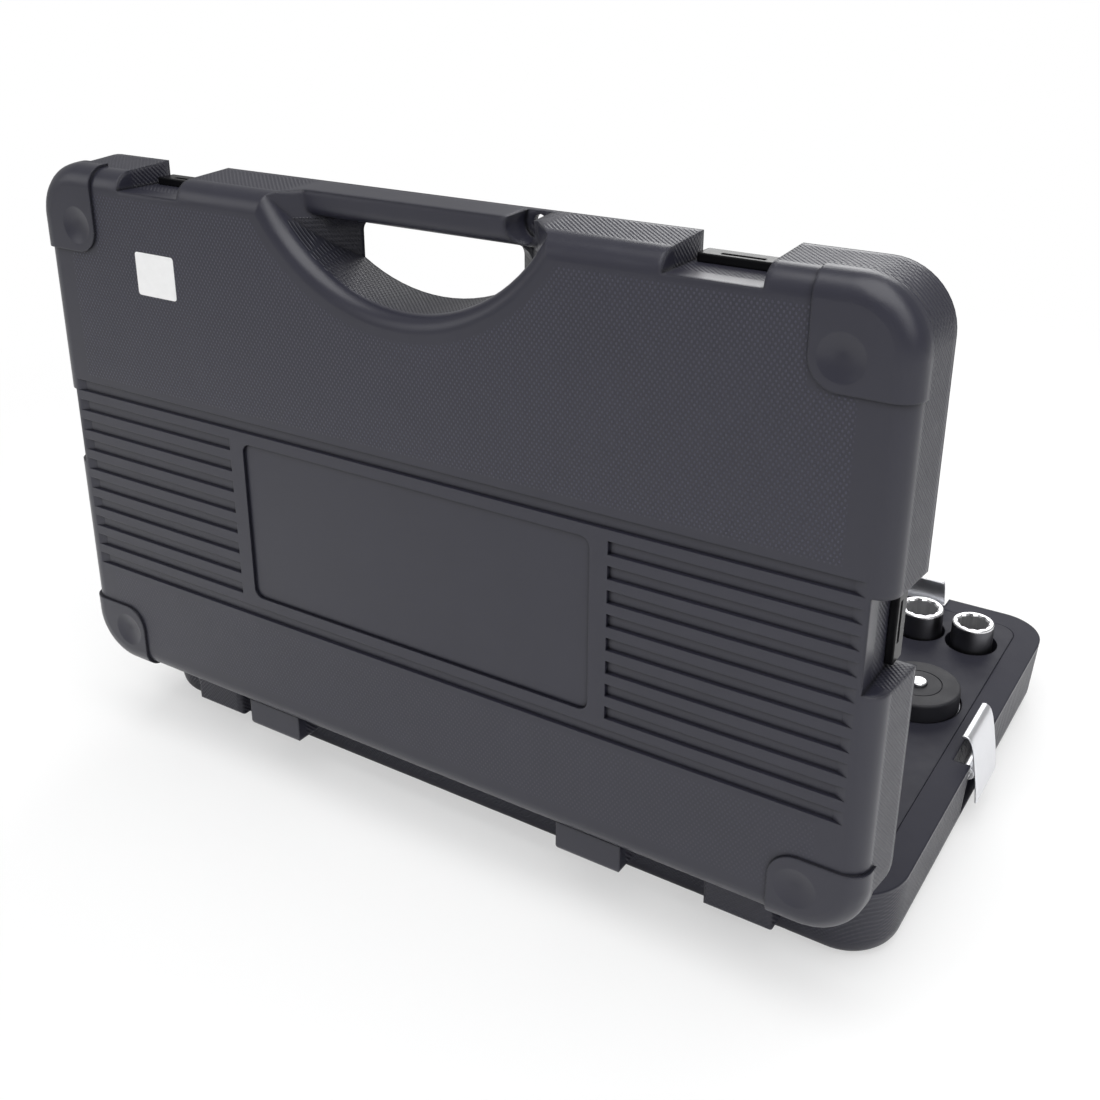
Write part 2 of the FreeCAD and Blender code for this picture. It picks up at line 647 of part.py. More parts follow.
def lid():
    caps, dishes = corner_caps()
    solid, cuts = half_shell("lid", "lid_height", "catch_depth", "lid_knuckle_start", "lid_knuckle_rise",
                             "-lock_side", [caps])
    through = ("-overshoot", "lid_height + overshoot")
    recesses = [recess_box("lid_recess_" + place, place, "catch_depth", through) for place in PLACES]
    marks = group("lid_marks", recesses + dishes + band())
    node(cut("lid_half", solid, cuts + [marks]), "lid_shell", on_lid=True)


def base():
    solid, cuts = half_shell("base", "base_height", "well_depth", "base_knuckle_start", "base_knuckle_drop",
                             "lock_side", [])
    wells = [recess_box("base_recess_" + place, place, "well_depth", ("-overshoot", "well_drop"))
             for place in PLACES]
    holes = [latch_pin("base_" + place, place, "latch_pin_radius + pin_clearance", "0")
             for place in PLACES]
    marks = [group("base_wells", wells), group("base_pin_holes", holes)]
    node(cut("base_half", solid, cuts + marks), "base_shell", on_base=True)


def latch_pin(prefix, place, radius, short):
    """The pin across a latch recess, or the hole for it, in the base's own frame."""
    length = "(%s + 2 * latch_pin_bite - 2 * %s)" % (RECESS_WIDTH, short)
    name = prefix + "_latch_pin"
    if place.startswith("front"):
        centre = LATCH_X if place == "front_right" else "-" + LATCH_X
        return rod(name, radius, length, "%s - %s / 2" % (centre, length), FRONT + " + latch_pin_inset",
                   "latch_pin_drop", along="x")
    x = "%s - latch_pin_inset" % HALF if place == "side_right" else "-(%s - latch_pin_inset)" % HALF
    return rod(name, radius, length, x, "%s - %s / 2" % (MIDDLE, length), "latch_pin_drop", along="y")


def pins():
    """Two hinge pins and four latch pins."""
    length = "(base_knuckle_start + knuckle_width - lid_knuckle_start)"
    ends = (("left", "-(base_knuckle_start + knuckle_width)"), ("right", "lid_knuckle_start"))
    node(group("hinge_pin_pair", [rod("hinge_pin_" + side, "hinge_pin_radius", length, x, along="x")
                                  for side, x in ends]), "hinge_pins", on_base=True)
    node(group("latch_pin_set", [latch_pin("pin_" + place, place, "latch_pin_radius", "pin_clearance")
                                 for place in PLACES]), "latch_pins", on_base=True)


def catches():
    """Glossy catches in the lid's recesses, which the hooks close over."""
    items = []
    for place in PLACES:
        outer = recess_box("catch_outer_" + place, place, "catch_depth", ("parting_gap", "catch_height"))
        half = "(%s / 2 - catch_end_gap)" % RECESS_WIDTH
        face = "(catch_depth - catch_thickness)"
        if place.startswith("front"):
            centre = LATCH_X if place == "front_right" else "-" + LATCH_X
            x = ("%s - %s" % (centre, half), "%s + %s" % (centre, half))
            y = ("%s + %s" % (FRONT, face), "%s + catch_depth + overlap" % FRONT)
        else:
            y = ("%s - %s" % (MIDDLE, half), "%s + %s" % (MIDDLE, half))
            x = ("%s - catch_depth - overlap" % HALF, "%s - %s" % (HALF, face))
            if place == "side_left":
                x = ("-(%s - %s)" % (HALF, face), "-(%s - catch_depth - overlap)" % HALF)
        body = block("catch_body_" + place, x, y, ("0", "lid_height"))
        items.append(common("catch_" + place, outer, body))
    node(group("catch_set", items), "latch_catches", on_lid=True)


def latch(place, label, angle, x, y):
    """Sheet-metal latch: hook, plate and finger tab, with a rolled eye round its pin.

    Drawn with the wall's plane at X = 0, outward along +X and the parting line at Z = 0.
    """
    skin = [("-hook_reach", "hook_height + hook_tip"), ("-crest_inset", "hook_height + crest_rise"),
            ("shoulder_out", "hook_height - shoulder_drop"), ("plate_out", "0"),
            ("waist_out", "-latch_pin_drop + waist_rise"), ("flare_out", "-latch_pin_drop - flare_drop"),
            ("latch_tail_out - tab_bend", "-latch_pin_drop - tab_drop"),
            ("latch_tail_out", "-latch_tail_drop")]
    # How far the back lies below the skin at each point, so that the sheet keeps its thickness round bends.
    lower = ("0.4", "1.3", "0.6", "0", "0.2", "0.4", "0.2", "0")
    back = [("%s - latch_sheet" % out, "%s - %s" % (up, drop)) for (out, up), drop in zip(skin, lower)]
    back[0] = ("-hook_reach", "hook_height")
    plate = profile("plate_" + place, "XZ_Plane", skin + back[::-1], "latch_width", both_ways=True)
    eye = rod("eye_" + place, "latch_barrel_radius", "latch_width", "-latch_pin_inset", "-latch_width / 2",
              "-latch_pin_drop", along="y")
    hole = rod("eye_hole_" + place, "latch_pin_radius + pin_clearance", "latch_width + 2 * overlap",
               "-latch_pin_inset", "-latch_width / 2 - overlap", "-latch_pin_drop", along="y")
    item = cut("latch_" + place, fuse("latch_sheet_" + place, [plate, eye]), [hole])
    item.Placement = Placement(Vector(), Rotation(Vector(0, 0, 1), angle))
    put(item, x, y, "base_height")
    node(item, label)


def latches():
    wall = "-case_depth / 2"
    latch("front_left", "front_latch_left", -90, "-" + LATCH_X, wall)
    latch("front_right", "front_latch_right", -90, LATCH_X, wall)
    latch("side_left", "side_latch_left", 180, "-(%s)" % HALF, "0")
    latch("side_right", "side_latch_right", 0, HALF, "0")


def label():
    middle = FRONT + " + label_front"
    paper = block("paper", ("label_side - label_width / 2", "label_side + label_width / 2"),
                  ("%s - label_length / 2" % middle, "%s + label_length / 2" % middle),
                  ("lid_height", "lid_height + label_thickness"))
    node(group("label_sheet", [paper]), "blank_label", on_lid=True)


def liner():
    """A pan that lines the lid, open towards the parting line."""
    x, y = shrunk("(rim_width + insert_gap)")
    top = "lid_height - shell_wall"
    pan = slab("liner_blank", x, y, ("parting_gap", top), "insert_corner - insert_gap")
    pan = cut("liner_pan", pan, [handle_zone("liner_notch", "insert_gap")])
    x, y = shrunk("(rim_width + insert_gap + insert_wall)")
    room = slab("liner_space", x, y, ("-overshoot", top + " - insert_wall"),
                "insert_corner - insert_gap - insert_wall")
    room = cut("liner_room", room, [handle_zone("liner_keep", "(insert_gap + insert_wall)")])
    node(cut("liner", pan, [room]), "lid_liner", on_lid=True)


# Tools in the tray, drawn where they lie. SEAM_X and SEAM_Y are the half sizes of the tray.

SEAM_X = "(case_width / 2 - rim_width)"
SEAM_Y = "(case_depth / 2 - rim_width)"
POCKETS = []
WELLS = []


def sink(name, kind, z_floor, **where):
    """A pocket in the tray, and the wall of the tray round it."""
    for grow, store, floor in (("0", POCKETS, z_floor), ("insert_wall", WELLS, z_floor + " - insert_wall")):
        top = "base_height + overlap" if grow == "0" else "base_height - insert_wall / 2"
        depth = "%s - (%s)" % (top, floor)
        tag = "%s_%s" % (name, "pocket" if grow == "0" else "well")
        if kind == "round":
            radius = "(%s) + %s" % (where["radius"], grow)
            store.append(rod(tag, radius, depth, where["x"], where["y"], floor))
        else:
            x = ("%s - %s" % (where["x"][0], grow), "%s + %s" % (where["x"][1], grow))
            y = ("%s - %s" % (where["y"][0], grow), "%s + %s" % (where["y"][1], grow))
            store.append(block(tag, x, y, (floor, "%s + %s" % (floor, depth))))


def nut_diameter(nut):
    return "(socket_wall_ratio * across_flats_%d + socket_wall_base)" % nut


def socket_width(nut):
    """Widest diameter of a socket: its nut end, or the drive end if that is wider."""
    return "max(%s; drive_end_diameter)" % nut_diameter(nut)


def socket(nut, x, y):
    """Twelve-point socket that stands on its drive end."""
    name = "socket_%d" % nut
    length = "(socket_length_base + socket_length_ratio * across_flats_%d)" % nut
    radius = nut_diameter(nut) + " / 2"
    top = "drive_end_length + socket_shoulder"
    drive = rod(name + "_drive", "drive_end_diameter / 2", "drive_end_length")
    shoulder = cone(name + "_shoulder", "drive_end_diameter / 2", radius, "socket_shoulder",
                    "drive_end_length")
    crown = rod(name + "_crown", radius, "%s - (%s) - socket_chamfer" % (length, top), z=top)
    rim = cone(name + "_rim", radius, radius + " - socket_chamfer", "socket_chamfer",
               length + " - socket_chamfer")
    half = "(drive_square / 2 + drive_clearance)"
    floor = "drive_end_length + socket_shoulder + nut_floor"
    square = block(name + "_square", ("-" + half, half), ("-" + half, half),
                   ("-overlap", floor + " + overlap"))
    points = []
    for turn in (0, 30):
        prism = doc.addObject("Part::Prism", "%s_points_%d" % (name, turn))
        prism.Polygon = 6
        prism.Placement = Placement(Vector(), Rotation(Vector(0, 0, 1), turn))
        bind(prism, Circumradius="(across_flats_%d + nut_clearance) / sqrt(3)" % nut,
             Height="%s - (%s) + overlap" % (length, floor))
        points.append(put(prism, z=floor))
    item = cut(name, fuse(name + "_body", [drive, shoulder, crown, rim]), [square] + points)
    put(item, x, y, "base_height - socket_sink + seat_gap")
    node(item, name)
    sink(name, "round", "base_height - socket_sink", radius=socket_width(nut) + " / 2 + pocket_clearance",
         x=x, y=y)


def socket_row(nuts, y, side):
    """Sockets side by side, from one end of the tray inwards, a fixed width of tray between pockets."""
    step = "-" if side > 0 else "+"
    margin = "right_margin" if side > 0 else "left_margin"
    x = "%d * (%s - %s - %s / 2)" % (side, SEAM_X, margin, socket_width(nuts[0]))
    for place, nut in enumerate(nuts):
        if place:
            gap = "(%s + %s) / 2 + 2 * pocket_clearance + pocket_spacing" % (
                socket_width(nuts[place - 1]), socket_width(nut))
            x = "%s %s (%s)" % (x, step, gap)
        socket(nut, x, y)


def sockets():
    front = "-(%s - front_row_inset)" % SEAM_Y
    rear = "%s - rear_row_inset" % SEAM_Y
    socket_row(SOCKETS_FRONT_LEFT, front, -1)
    socket_row(SOCKETS_FRONT_RIGHT, front, 1)
    socket_row(SOCKETS_REAR, rear, 1)


def extension(label, length, x):
    """Extension bar along X: female end, shaft and male square."""
    z = "base_height - extension_sink"
    head = rod(label + "_head", "extension_head_radius", "extension_head_length", along="x")
    shaft = rod(label + "_shaft", "extension_radius", "%s - extension_tip" % length, along="x")
    half = "(drive_square / 2)"
    tip = block(label + "_tip", ("%s - extension_tip - tip_root" % length, length), ("-" + half, half),
                ("-" + half, half))
    wide = "(drive_square / 2 + drive_clearance)"
    hole = block(label + "_hole", ("-overlap", "drive_hole_depth"), ("-" + wide, wide), ("-" + wide, wide))
    item = cut(label + "_bar", fuse(label + "_body", [head, shaft, tip]), [hole])
    put(item, x, "extension_y", z)
    node(item, label)
    reach = "(extension_head_radius + pocket_clearance)"
    sink(label, "square", "%s - extension_head_radius - seat_gap" % z,
         x=("%s - pocket_clearance" % x, "%s + %s + pocket_clearance" % (x, length)),
         y=("extension_y - " + reach, "extension_y + " + reach))


def extensions():
    start = "%s - extension_end_inset - extension_long_length" % SEAM_X
    extension("extension_long", "extension_long_length", start)
    extension("extension_short", "extension_short_length",
              "%s - 2 * pocket_clearance - pocket_spacing - extension_short_length" % start)


HEAD_X = "(-(%s - ratchet_end_inset))" % SEAM_X
HEAD_TOP = "(base_height + ratchet_rise - dial_thickness - slip_gap)"
HEAD_LOW = "(%s - head_thickness)" % HEAD_TOP
GEAR_TOP = "(%s - head_web - slip_gap)" % HEAD_TOP
GEAR_LOW = "(%s - gear_thickness)" % GEAR_TOP
DIAL_LOW = "(%s + slip_gap)" % HEAD_TOP
DIAL_TOP = "(base_height + ratchet_rise)"
AXIS_Z = "(%s + handle_drop)" % HEAD_LOW


def on_head(name, radius, low, high, x="0", y="0"):
    """A cylinder upright in the ratchet's head, from one level to another."""
    return rod(name, radius, "(%s) - (%s)" % (high, low), "%s + %s" % (HEAD_X, x), "ratchet_y + " + y, low)


def screw_spots():
    """Places of the cover screws round the head's centre, clear of the handle."""
    count = int(sheet.screw_count)
    spots = []
    for i in range(count):
        angle = "(180 + %s * screw_spread)" % (i - (count - 1) / 2)
        spots.append(("screw_circle * cos(%s)" % angle, "screw_circle * sin(%s)" % angle))
    return spots


def ratchet_head():
    """Housing with its gear bore, pawl seat, cover seat and the neck that takes the handle."""
    drum = on_head("head_drum", "head_radius", HEAD_LOW, HEAD_TOP)
    neck = rod("head_neck", "neck_radius", "neck_length", HEAD_X, "ratchet_y", AXIS_Z, along="x")
    bore = on_head("head_bore", "gear_radius + gear_room", HEAD_LOW + " - overlap", HEAD_TOP + " - head_web")
    seat = on_head("head_seat", "cover_radius + pin_clearance", HEAD_LOW + " - overlap",
                   HEAD_LOW + " + cover_thickness")
    stem = on_head("head_stem_hole", "button_stem_radius + slip_gap", HEAD_LOW, HEAD_TOP + " + overlap")
    pawl_seat = on_head("head_pawl_seat", "pawl_radius + slip_gap", HEAD_LOW, HEAD_TOP + " - head_web",
                        "pawl_offset")
    hole = rod("head_shaft_hole", "shaft_radius + pin_clearance", "shaft_bite + overlap",
               HEAD_X + " + neck_length - shaft_bite", "ratchet_y", AXIS_Z, along="x")
    screws = [on_head("head_screw_%d" % i, "screw_shank_radius + pin_clearance", HEAD_LOW,
                      "%s + screw_length + overlap" % HEAD_LOW, *spot)
              for i, spot in enumerate(screw_spots())]
    body = fuse("head_body", [drum, neck])
    node(cut("head", body, [bore, seat, stem, pawl_seat, hole] + screws), "ratchet_head")


def ratchet_handle():
    start = HEAD_X + " + neck_length - shaft_bite"
    end = HEAD_X + " + ratchet_length"
    length = "ratchet_length - grip_end - neck_length + shaft_bite"
    node(rod("handle", "shaft_radius", length, start, "ratchet_y", AXIS_Z, along="x"), "ratchet_handle")
    sleeve = rod("grip_sleeve", "grip_radius", "grip_length", "%s - grip_length" % end, "ratchet_y",
                 AXIS_Z, along="x")
    hole = rod("grip_hole", "shaft_radius + pin_clearance", "grip_length - grip_end + overlap",
               "%s - grip_length - overlap" % end, "ratchet_y", AXIS_Z, along="x")
    node(cut("grip", sleeve, [hole]), "ratchet_grip")


def dial():
    """Reversing dial with a ring line and a hole for the button."""
    disc = on_head("dial_disc", "dial_radius", DIAL_LOW, DIAL_TOP)
    outer = on_head("dial_ring_outer", "dial_ring_radius + dial_ring_width",
                    DIAL_TOP + " - dial_ring_depth", DIAL_TOP + " + overlap")
    inner = on_head("dial_ring_inner", "dial_ring_radius", DIAL_TOP + " - dial_ring_depth - overlap",
                    DIAL_TOP + " + 2 * overlap")
    ring = cut("dial_ring", outer, [inner])
    hole = on_head("dial_hole", "button_radius + slip_gap", DIAL_LOW + " - overlap", DIAL_TOP + " + overlap")
    node(cut("dial", disc, [ring, hole]), "reverse_dial")


def drive_gear():
    """Toothed wheel, round neck and drive square in one piece, bored for the button's stem."""
    count = int(sheet.gear_teeth)
    points = []
    for i in range(2 * count):
        angle = 180.0 * i / count
        radius = "gear_radius" if i % 2 == 0 else "(gear_radius - gear_tooth)"
        points.append(("%s * cos(%s)" % (radius, angle), "%s * sin(%s)" % (radius, angle)))
    wheel = profile("gear_wheel", "XY_Plane", points, "gear_thickness")
    put(wheel, HEAD_X, "ratchet_y", GEAR_LOW)
    neck_low = HEAD_LOW + " - gear_neck_drop"
    neck = on_head("gear_neck", "gear_neck_radius", neck_low, GEAR_LOW + " + overlap")
    half = "(drive_square / 2)"
    square = block("gear_square", ("%s - %s" % (HEAD_X, half), "%s + %s" % (HEAD_X, half)),
                   ("ratchet_y - " + half, "ratchet_y + " + half),
                   (neck_low + " - drive_length", neck_low + " + overlap"))
    hole = on_head("gear_bore", "button_stem_radius + slip_gap", GEAR_LOW + " + gear_bore_floor",
                   GEAR_TOP + " + overlap")
    spot = ("%s - %s + ball_sink" % (HEAD_X, half), "ratchet_y", neck_low + " - drive_length + ball_height")
    cup = ball("gear_ball_cup", "ball_radius + pin_clearance", *spot)
    node(cut("gear", fuse("gear_body", [wheel, neck, square]), [hole, cup]), "drive_gear")
    node(ball("detent", "ball_radius", *spot), "detent_ball")


def cover():
    """Cover plate under the gear and the screws that hold it."""
    plate = on_head("cover_disc", "cover_radius", HEAD_LOW, HEAD_LOW + " + cover_thickness")
    hole = on_head("cover_hole", "gear_neck_radius + slip_gap", HEAD_LOW + " - overlap",
                   HEAD_LOW + " + cover_thickness + overlap")
    holes = []
    screws = []
    for i, spot in enumerate(screw_spots()):
        holes.append(on_head("cover_screw_hole_%d" % i, "screw_head_radius + pin_clearance",
                             HEAD_LOW + " - overlap", HEAD_LOW + " + cover_thickness + overlap", *spot))
        head = on_head("screw_head_%d" % i, "screw_head_radius", HEAD_LOW,
                       HEAD_LOW + " + cover_thickness", *spot)
        shank = on_head("screw_shank_%d" % i, "screw_shank_radius", HEAD_LOW,
                        HEAD_LOW + " + screw_length", *spot)
        screws.append(fuse("screw_%d" % i, [head, shank]))
    node(cut("cover", plate, [hole] + holes), "cover_plate")
    node(group("screws", screws), "cover_screws")


def button():
    top = "(%s + button_rise)" % DIAL_TOP
    head = on_head("button_head", "button_radius", top + " - button_height", top)
    stem = on_head("button_stem", "button_stem_radius", top + " - button_height - button_stem_length",
                   top + " - button_height + overlap")
    node(fuse("button", [head, stem]), "release_button")


def pawl():
    level = HEAD_LOW + " + cover_thickness + slip_gap"
    top = HEAD_TOP + " - head_web - slip_gap"
    body = on_head("pawl_body", "pawl_radius", level, top, "pawl_offset")
    x = "%s + pawl_offset - pawl_flat" % HEAD_X
    flat = block("pawl_face", (x + " - overshoot", x), ("ratchet_y - overshoot", "ratchet_y + overshoot"),
                 (level + " - overlap", top + " + overlap"))
    node(cut("pawl_piece", body, [flat]), "pawl")


def ratchet_pocket():
    end = HEAD_X + " + ratchet_length + pocket_clearance"
    sink("ratchet_head", "round", HEAD_LOW + " - seat_gap", radius="head_radius + pocket_clearance",
         x=HEAD_X, y="ratchet_y")
    sink("ratchet_drive", "round", HEAD_LOW + " - gear_neck_drop - drive_length - pocket_clearance",
         radius="drive_square * drive_room + pocket_clearance", x=HEAD_X, y="ratchet_y")
    reach = "(grip_radius + pocket_clearance)"
    sink("ratchet_handle", "square", AXIS_Z + " - grip_radius - seat_gap", x=(HEAD_X, end),
         y=("ratchet_y - " + reach, "ratchet_y + " + reach))


def tray():
    """Insert with a pocket for every tool: a top plate, a skirt and a thin wall round each pocket."""
    def plan(name, margin, z, corner):
        half_x = "(%s - %s)" % (SEAM_X, margin)
        half_y = "(%s - %s)" % (SEAM_Y, margin)
        return slab(name, ("-" + half_x, half_x), ("-" + half_y, half_y), z, corner)

    def notch(name, margin):
        half = "(%s + %s)" % (HANDLE_HALF, margin)
        back = "-case_depth / 2 + bowl_radius - bowl_offset + shell_wall + " + margin
        return block(name, ("-" + half, half), ("-case_depth", back),
                     ("-overshoot", "base_height + overshoot"))

    low = "(shell_wall + insert_gap)"
    solid = plan("tray_blank", "insert_gap", (low, "base_height"), "insert_corner - insert_gap")
    solid = cut("tray_plan", solid, [notch("tray_notch", "insert_gap")])
    under = plan("tray_under", "(insert_gap + insert_wall)",
                 (low + " - overlap", "base_height - insert_wall"),
                 "insert_corner - insert_gap - insert_wall")
    under = cut("tray_space", under, [notch("tray_keep", "(insert_gap + insert_wall)"),
                                      fuse("tray_wells", WELLS)])
    node(cut("tray", solid, [under, fuse("tray_pockets", POCKETS)]), "base_tray")


def check_and_write():
    """Refuse a failed object or a bad shape, then write every node."""
    doc.recompute()
    for item in doc.Objects:
        if "Invalid" in item.State or "Error" in item.State:
            raise RuntimeError("failed object: %s %s" % (item.Name, item.State))
    os.makedirs("parts", exist_ok=True)
    for item in NODES:
        shape = item.Shape
        if shape.isNull() or not shape.isValid() or not shape.Solids:
            raise RuntimeError("bad shape: %s" % item.Label)
        print(item.Label, len(shape.Solids), "solids", round(shape.Volume), "mm3")
    for item in NODES:
        item.Shape.exportStep(os.path.join("parts", item.Label + ".step"))


base()
lid()
pins()
catches()
latches()
label()
liner()
sockets()
extensions()
ratchet_head()
ratchet_handle()
dial()
drive_gear()
cover()
button()
pawl()
ratchet_pocket()
tray()
check_and_write()
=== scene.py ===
import math

import bmesh
import bpy
import numpy as np
from mathutils import Matrix, Vector

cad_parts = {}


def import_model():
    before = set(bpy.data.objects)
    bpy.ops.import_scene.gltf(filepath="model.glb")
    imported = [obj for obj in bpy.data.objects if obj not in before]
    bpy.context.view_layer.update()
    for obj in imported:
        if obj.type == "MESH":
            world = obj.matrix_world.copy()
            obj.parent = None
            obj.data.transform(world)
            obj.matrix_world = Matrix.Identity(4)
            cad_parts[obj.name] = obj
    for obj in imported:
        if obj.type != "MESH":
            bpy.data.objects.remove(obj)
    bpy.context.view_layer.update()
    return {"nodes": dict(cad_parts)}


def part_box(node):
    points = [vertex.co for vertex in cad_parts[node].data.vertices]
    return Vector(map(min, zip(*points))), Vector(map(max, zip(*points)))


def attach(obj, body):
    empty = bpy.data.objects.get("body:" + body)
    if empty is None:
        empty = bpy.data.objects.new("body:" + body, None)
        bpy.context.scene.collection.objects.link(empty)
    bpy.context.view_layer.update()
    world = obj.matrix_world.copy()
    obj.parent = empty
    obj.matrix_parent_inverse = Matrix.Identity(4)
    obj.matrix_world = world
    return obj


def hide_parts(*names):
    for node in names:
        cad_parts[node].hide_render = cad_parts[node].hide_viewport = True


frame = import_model()
NODES = frame["nodes"]

# Sizes in metres. X runs along the hinge, the carrying handle is towards -Y, Z is up.
# A half's own frame has the hinge axis as its origin, the front wall at FRONT and Z towards its outer face.
HALF_WIDTH = 0.280
HALF_DEPTH = 0.171
HINGE_SETBACK = 0.005
LID_HEIGHT = 0.042
BASE_HEIGHT = 0.050
PARTING_GAP = 0.0003
OPEN = math.radians(88)
HINGE_Y = HALF_DEPTH + HINGE_SETBACK
RIM_Z = BASE_HEIGHT
MIDDLE = -HINGE_Y
FRONT = MIDDLE - HALF_DEPTH

# Marks on a half: a reach is from the front wall, a side from the middle, a bow from the hand bowl's centre.
BOWL_CENTRE_REACH = -0.0488
BOWL_WALL_BOW = 0.1085
BOWL_LIP_BOW = 0.11925
BOWL_LIP_DEPTH = 0.010
GRIP_BACK_REACH = 0.0169
BAR_SIDE = 0.085
BAR_REACH = 0.022
CAP_SIDE = 0.229
CAP_REACHES = (0.0535, 0.2965)
DISH_SIDE = HALF_WIDTH - 0.0357
DISH_REACHES = (0.037, 0.315)
DISH_FLOOR = 0.0075
BAND_REACHES = (0.136, 0.2725)
BAND_SIDE = 0.270
DOT_REACHES = (0.0165, 0.1335)
DOT_SIDE = 0.2525
FAINT_DOT_REACHES = (0.2735, 0.322)
RIB_HEIGHT = 0.003
RIB_SETBACK = 0.0125
RIM_HEIGHT = 0.0011
DOT_PITCH = 0.0028
RIB_PITCH = 0.0030
KNURL_PITCH = 0.0026

# Latches, catches, label and tools
LATCH_SIDE = HALF_WIDTH - 0.099
LATCH_WIDTH = 0.043
LATCH_SHEET = 0.0015
LATCH_PIN = (-0.0025, 0, -0.009)
LATCH_EYE_RADII = (0.00205, 0.0045)
RECESS_HALF = 0.032
RECESS_REACH = 0.018
RECESS_SIDE = 0.264
CATCH_FACE = 0.008
LABEL_HALF = (0.016, 0.013)
LABEL_THICK = 0.00015
LABEL_PLACE = (0.180, FRONT + 0.060, LID_HEIGHT)
SOCKETS = (19, 21, 22, 24, 27, 30, 32, 34, 36, 38, 41, 46)
GRIP_RADIUS = 0.015
GRIP_PITCH = 0.0034


# Materials

class Graph:
    """A small builder for a procedural material."""

    def __init__(self, name):
        self.material = bpy.data.materials.new(name)
        self.material.use_nodes = True
        self.tree = self.material.node_tree
        self.shader = self.tree.nodes["Principled BSDF"]
        source = self.add("ShaderNodeTexCoord")
        self.coords = source.outputs["Object"]
        self.normal = source.outputs["Normal"]

    def add(self, kind, **settings):
        node = self.tree.nodes.new(kind)
        for key, value in settings.items():
            setattr(node, key, value)
        return node

    def put(self, value, socket):
        """A number on the socket itself, or a link from another node."""
        if isinstance(value, bpy.types.NodeSocket):
            self.tree.links.new(value, socket)
        else:
            socket.default_value = value

    def math(self, operation, first, second=0.0):
        node = self.add("ShaderNodeMath", operation=operation)
        self.put(first, node.inputs[0])
        self.put(second, node.inputs[1])
        return node.outputs[0]

    def sum(self, *values):
        total = values[0]
        for value in values[1:]:
            total = self.math("ADD", total, value)
        return total

    def product(self, *values):
        total = values[0]
        for value in values[1:]:
            total = self.math("MULTIPLY", total, value)
        return total

    def outside(self, mask):
        return self.math("SUBTRACT", 1.0, mask)

    def distance(self, first, second, first_middle=0.0, second_middle=0.0):
        """Length of the offset from a middle, in two coordinates."""
        a = self.math("SUBTRACT", first, first_middle)
        b = self.math("SUBTRACT", second, second_middle)
        return self.math("SQRT", self.sum(self.product(a, a), self.product(b, b)))

    def split(self, vector):
        node = self.add("ShaderNodeSeparateXYZ")
        self.put(vector, node.inputs[0])
        return node.outputs

    def noise(self, scale, detail=3.0, rough=0.5, vector=None):
        node = self.add("ShaderNodeTexNoise")
        self.put(vector or self.coords, node.inputs["Vector"])
        node.inputs["Scale"].default_value = scale
        node.inputs["Detail"].default_value = detail
        node.inputs["Roughness"].default_value = rough
        return node.outputs["Fac"]

    def stretch(self, scale):
        node = self.add("ShaderNodeMapping")
        self.put(self.coords, node.inputs["Vector"])
        node.inputs["Scale"].default_value = scale
        return node.outputs["Vector"]

    def turned(self, kind, source, turn, place):
        node = self.add("ShaderNodeMapping", vector_type=kind)
        self.put(source, node.inputs["Vector"])
        node.inputs["Rotation"].default_value = turn
        if kind == "POINT":
            node.inputs["Location"].default_value = place
        return node.outputs["Vector"]

    def half_coords(self, axis, angle):
        """Place and normal in a case half's own frame: hinge axis at the origin, Z towards the outer face."""
        place = Matrix.Rotation(angle, 3, axis) @ Vector((0, -HINGE_Y, -RIM_Z))
        turn = (angle, 0, 0) if axis == "X" else (0, angle, 0)
        return self.turned("POINT", self.coords, turn, place), self.turned("VECTOR", self.normal, turn, place)

    def step(self, value, low, high):
        """0 below low, 1 above high, smooth between; falling if low is the larger."""
        node = self.add("ShaderNodeMapRange", interpolation_type="SMOOTHSTEP")
        self.put(value, node.inputs["Value"])
        if low > high:
            node.inputs["To Min"].default_value = 1.0
            node.inputs["To Max"].default_value = 0.0
        node.inputs["From Min"].default_value = min(low, high)
        node.inputs["From Max"].default_value = max(low, high)
        return node.outputs["Result"]

    def above(self, value, limit, edge):
        """1 above a limit, with a soft start."""
        return self.step(value, limit - edge, limit + edge)

    def below(self, value, limit, edge):
        """1 below a limit, with a soft end."""
        return self.step(value, limit + edge, limit - edge)

    def within(self, value, low, high, edge=0.0015):
        """1 between two limits, with soft ends."""
        return self.product(self.above(value, low, edge), self.below(value, high, edge))

    def ramp(self, value, low, high):
        node = self.add("ShaderNodeMapRange")
        self.put(value, node.inputs["Value"])
        node.inputs["To Min"].default_value = low
        node.inputs["To Max"].default_value = high
        return node.outputs["Result"]

    def mix(self, factor, first, second):
        node = self.add("ShaderNodeMix", data_type="RGBA")
        self.put(factor, node.inputs[0])
        for value, socket in ((first, node.inputs[6]), (second, node.inputs[7])):
            self.put((*value, 1) if isinstance(value, tuple) else value, socket)
        return node.outputs[2]

    def soft_edges(self, radius):
        """Normal with the part's sharp edges softened."""
        node = self.add("ShaderNodeBevel", samples=4)
        self.put(radius, node.inputs["Radius"])
        return node.outputs[0]

    def openness(self, reach):
        """1 on open surfaces, less in creases and grooves."""
        node = self.add("ShaderNodeAmbientOcclusion", samples=6, only_local=True)
        node.inputs["Distance"].default_value = reach
        return node.outputs["AO"]

    def bump(self, height, distance, strength=1.0, below=None):
        node = self.add("ShaderNodeBump")
        node.inputs["Distance"].default_value = distance
        node.inputs["Strength"].default_value = strength
        self.put(height, node.inputs["Height"])
        if below:
            self.put(below, node.inputs["Normal"])
        return node.outputs["Normal"]

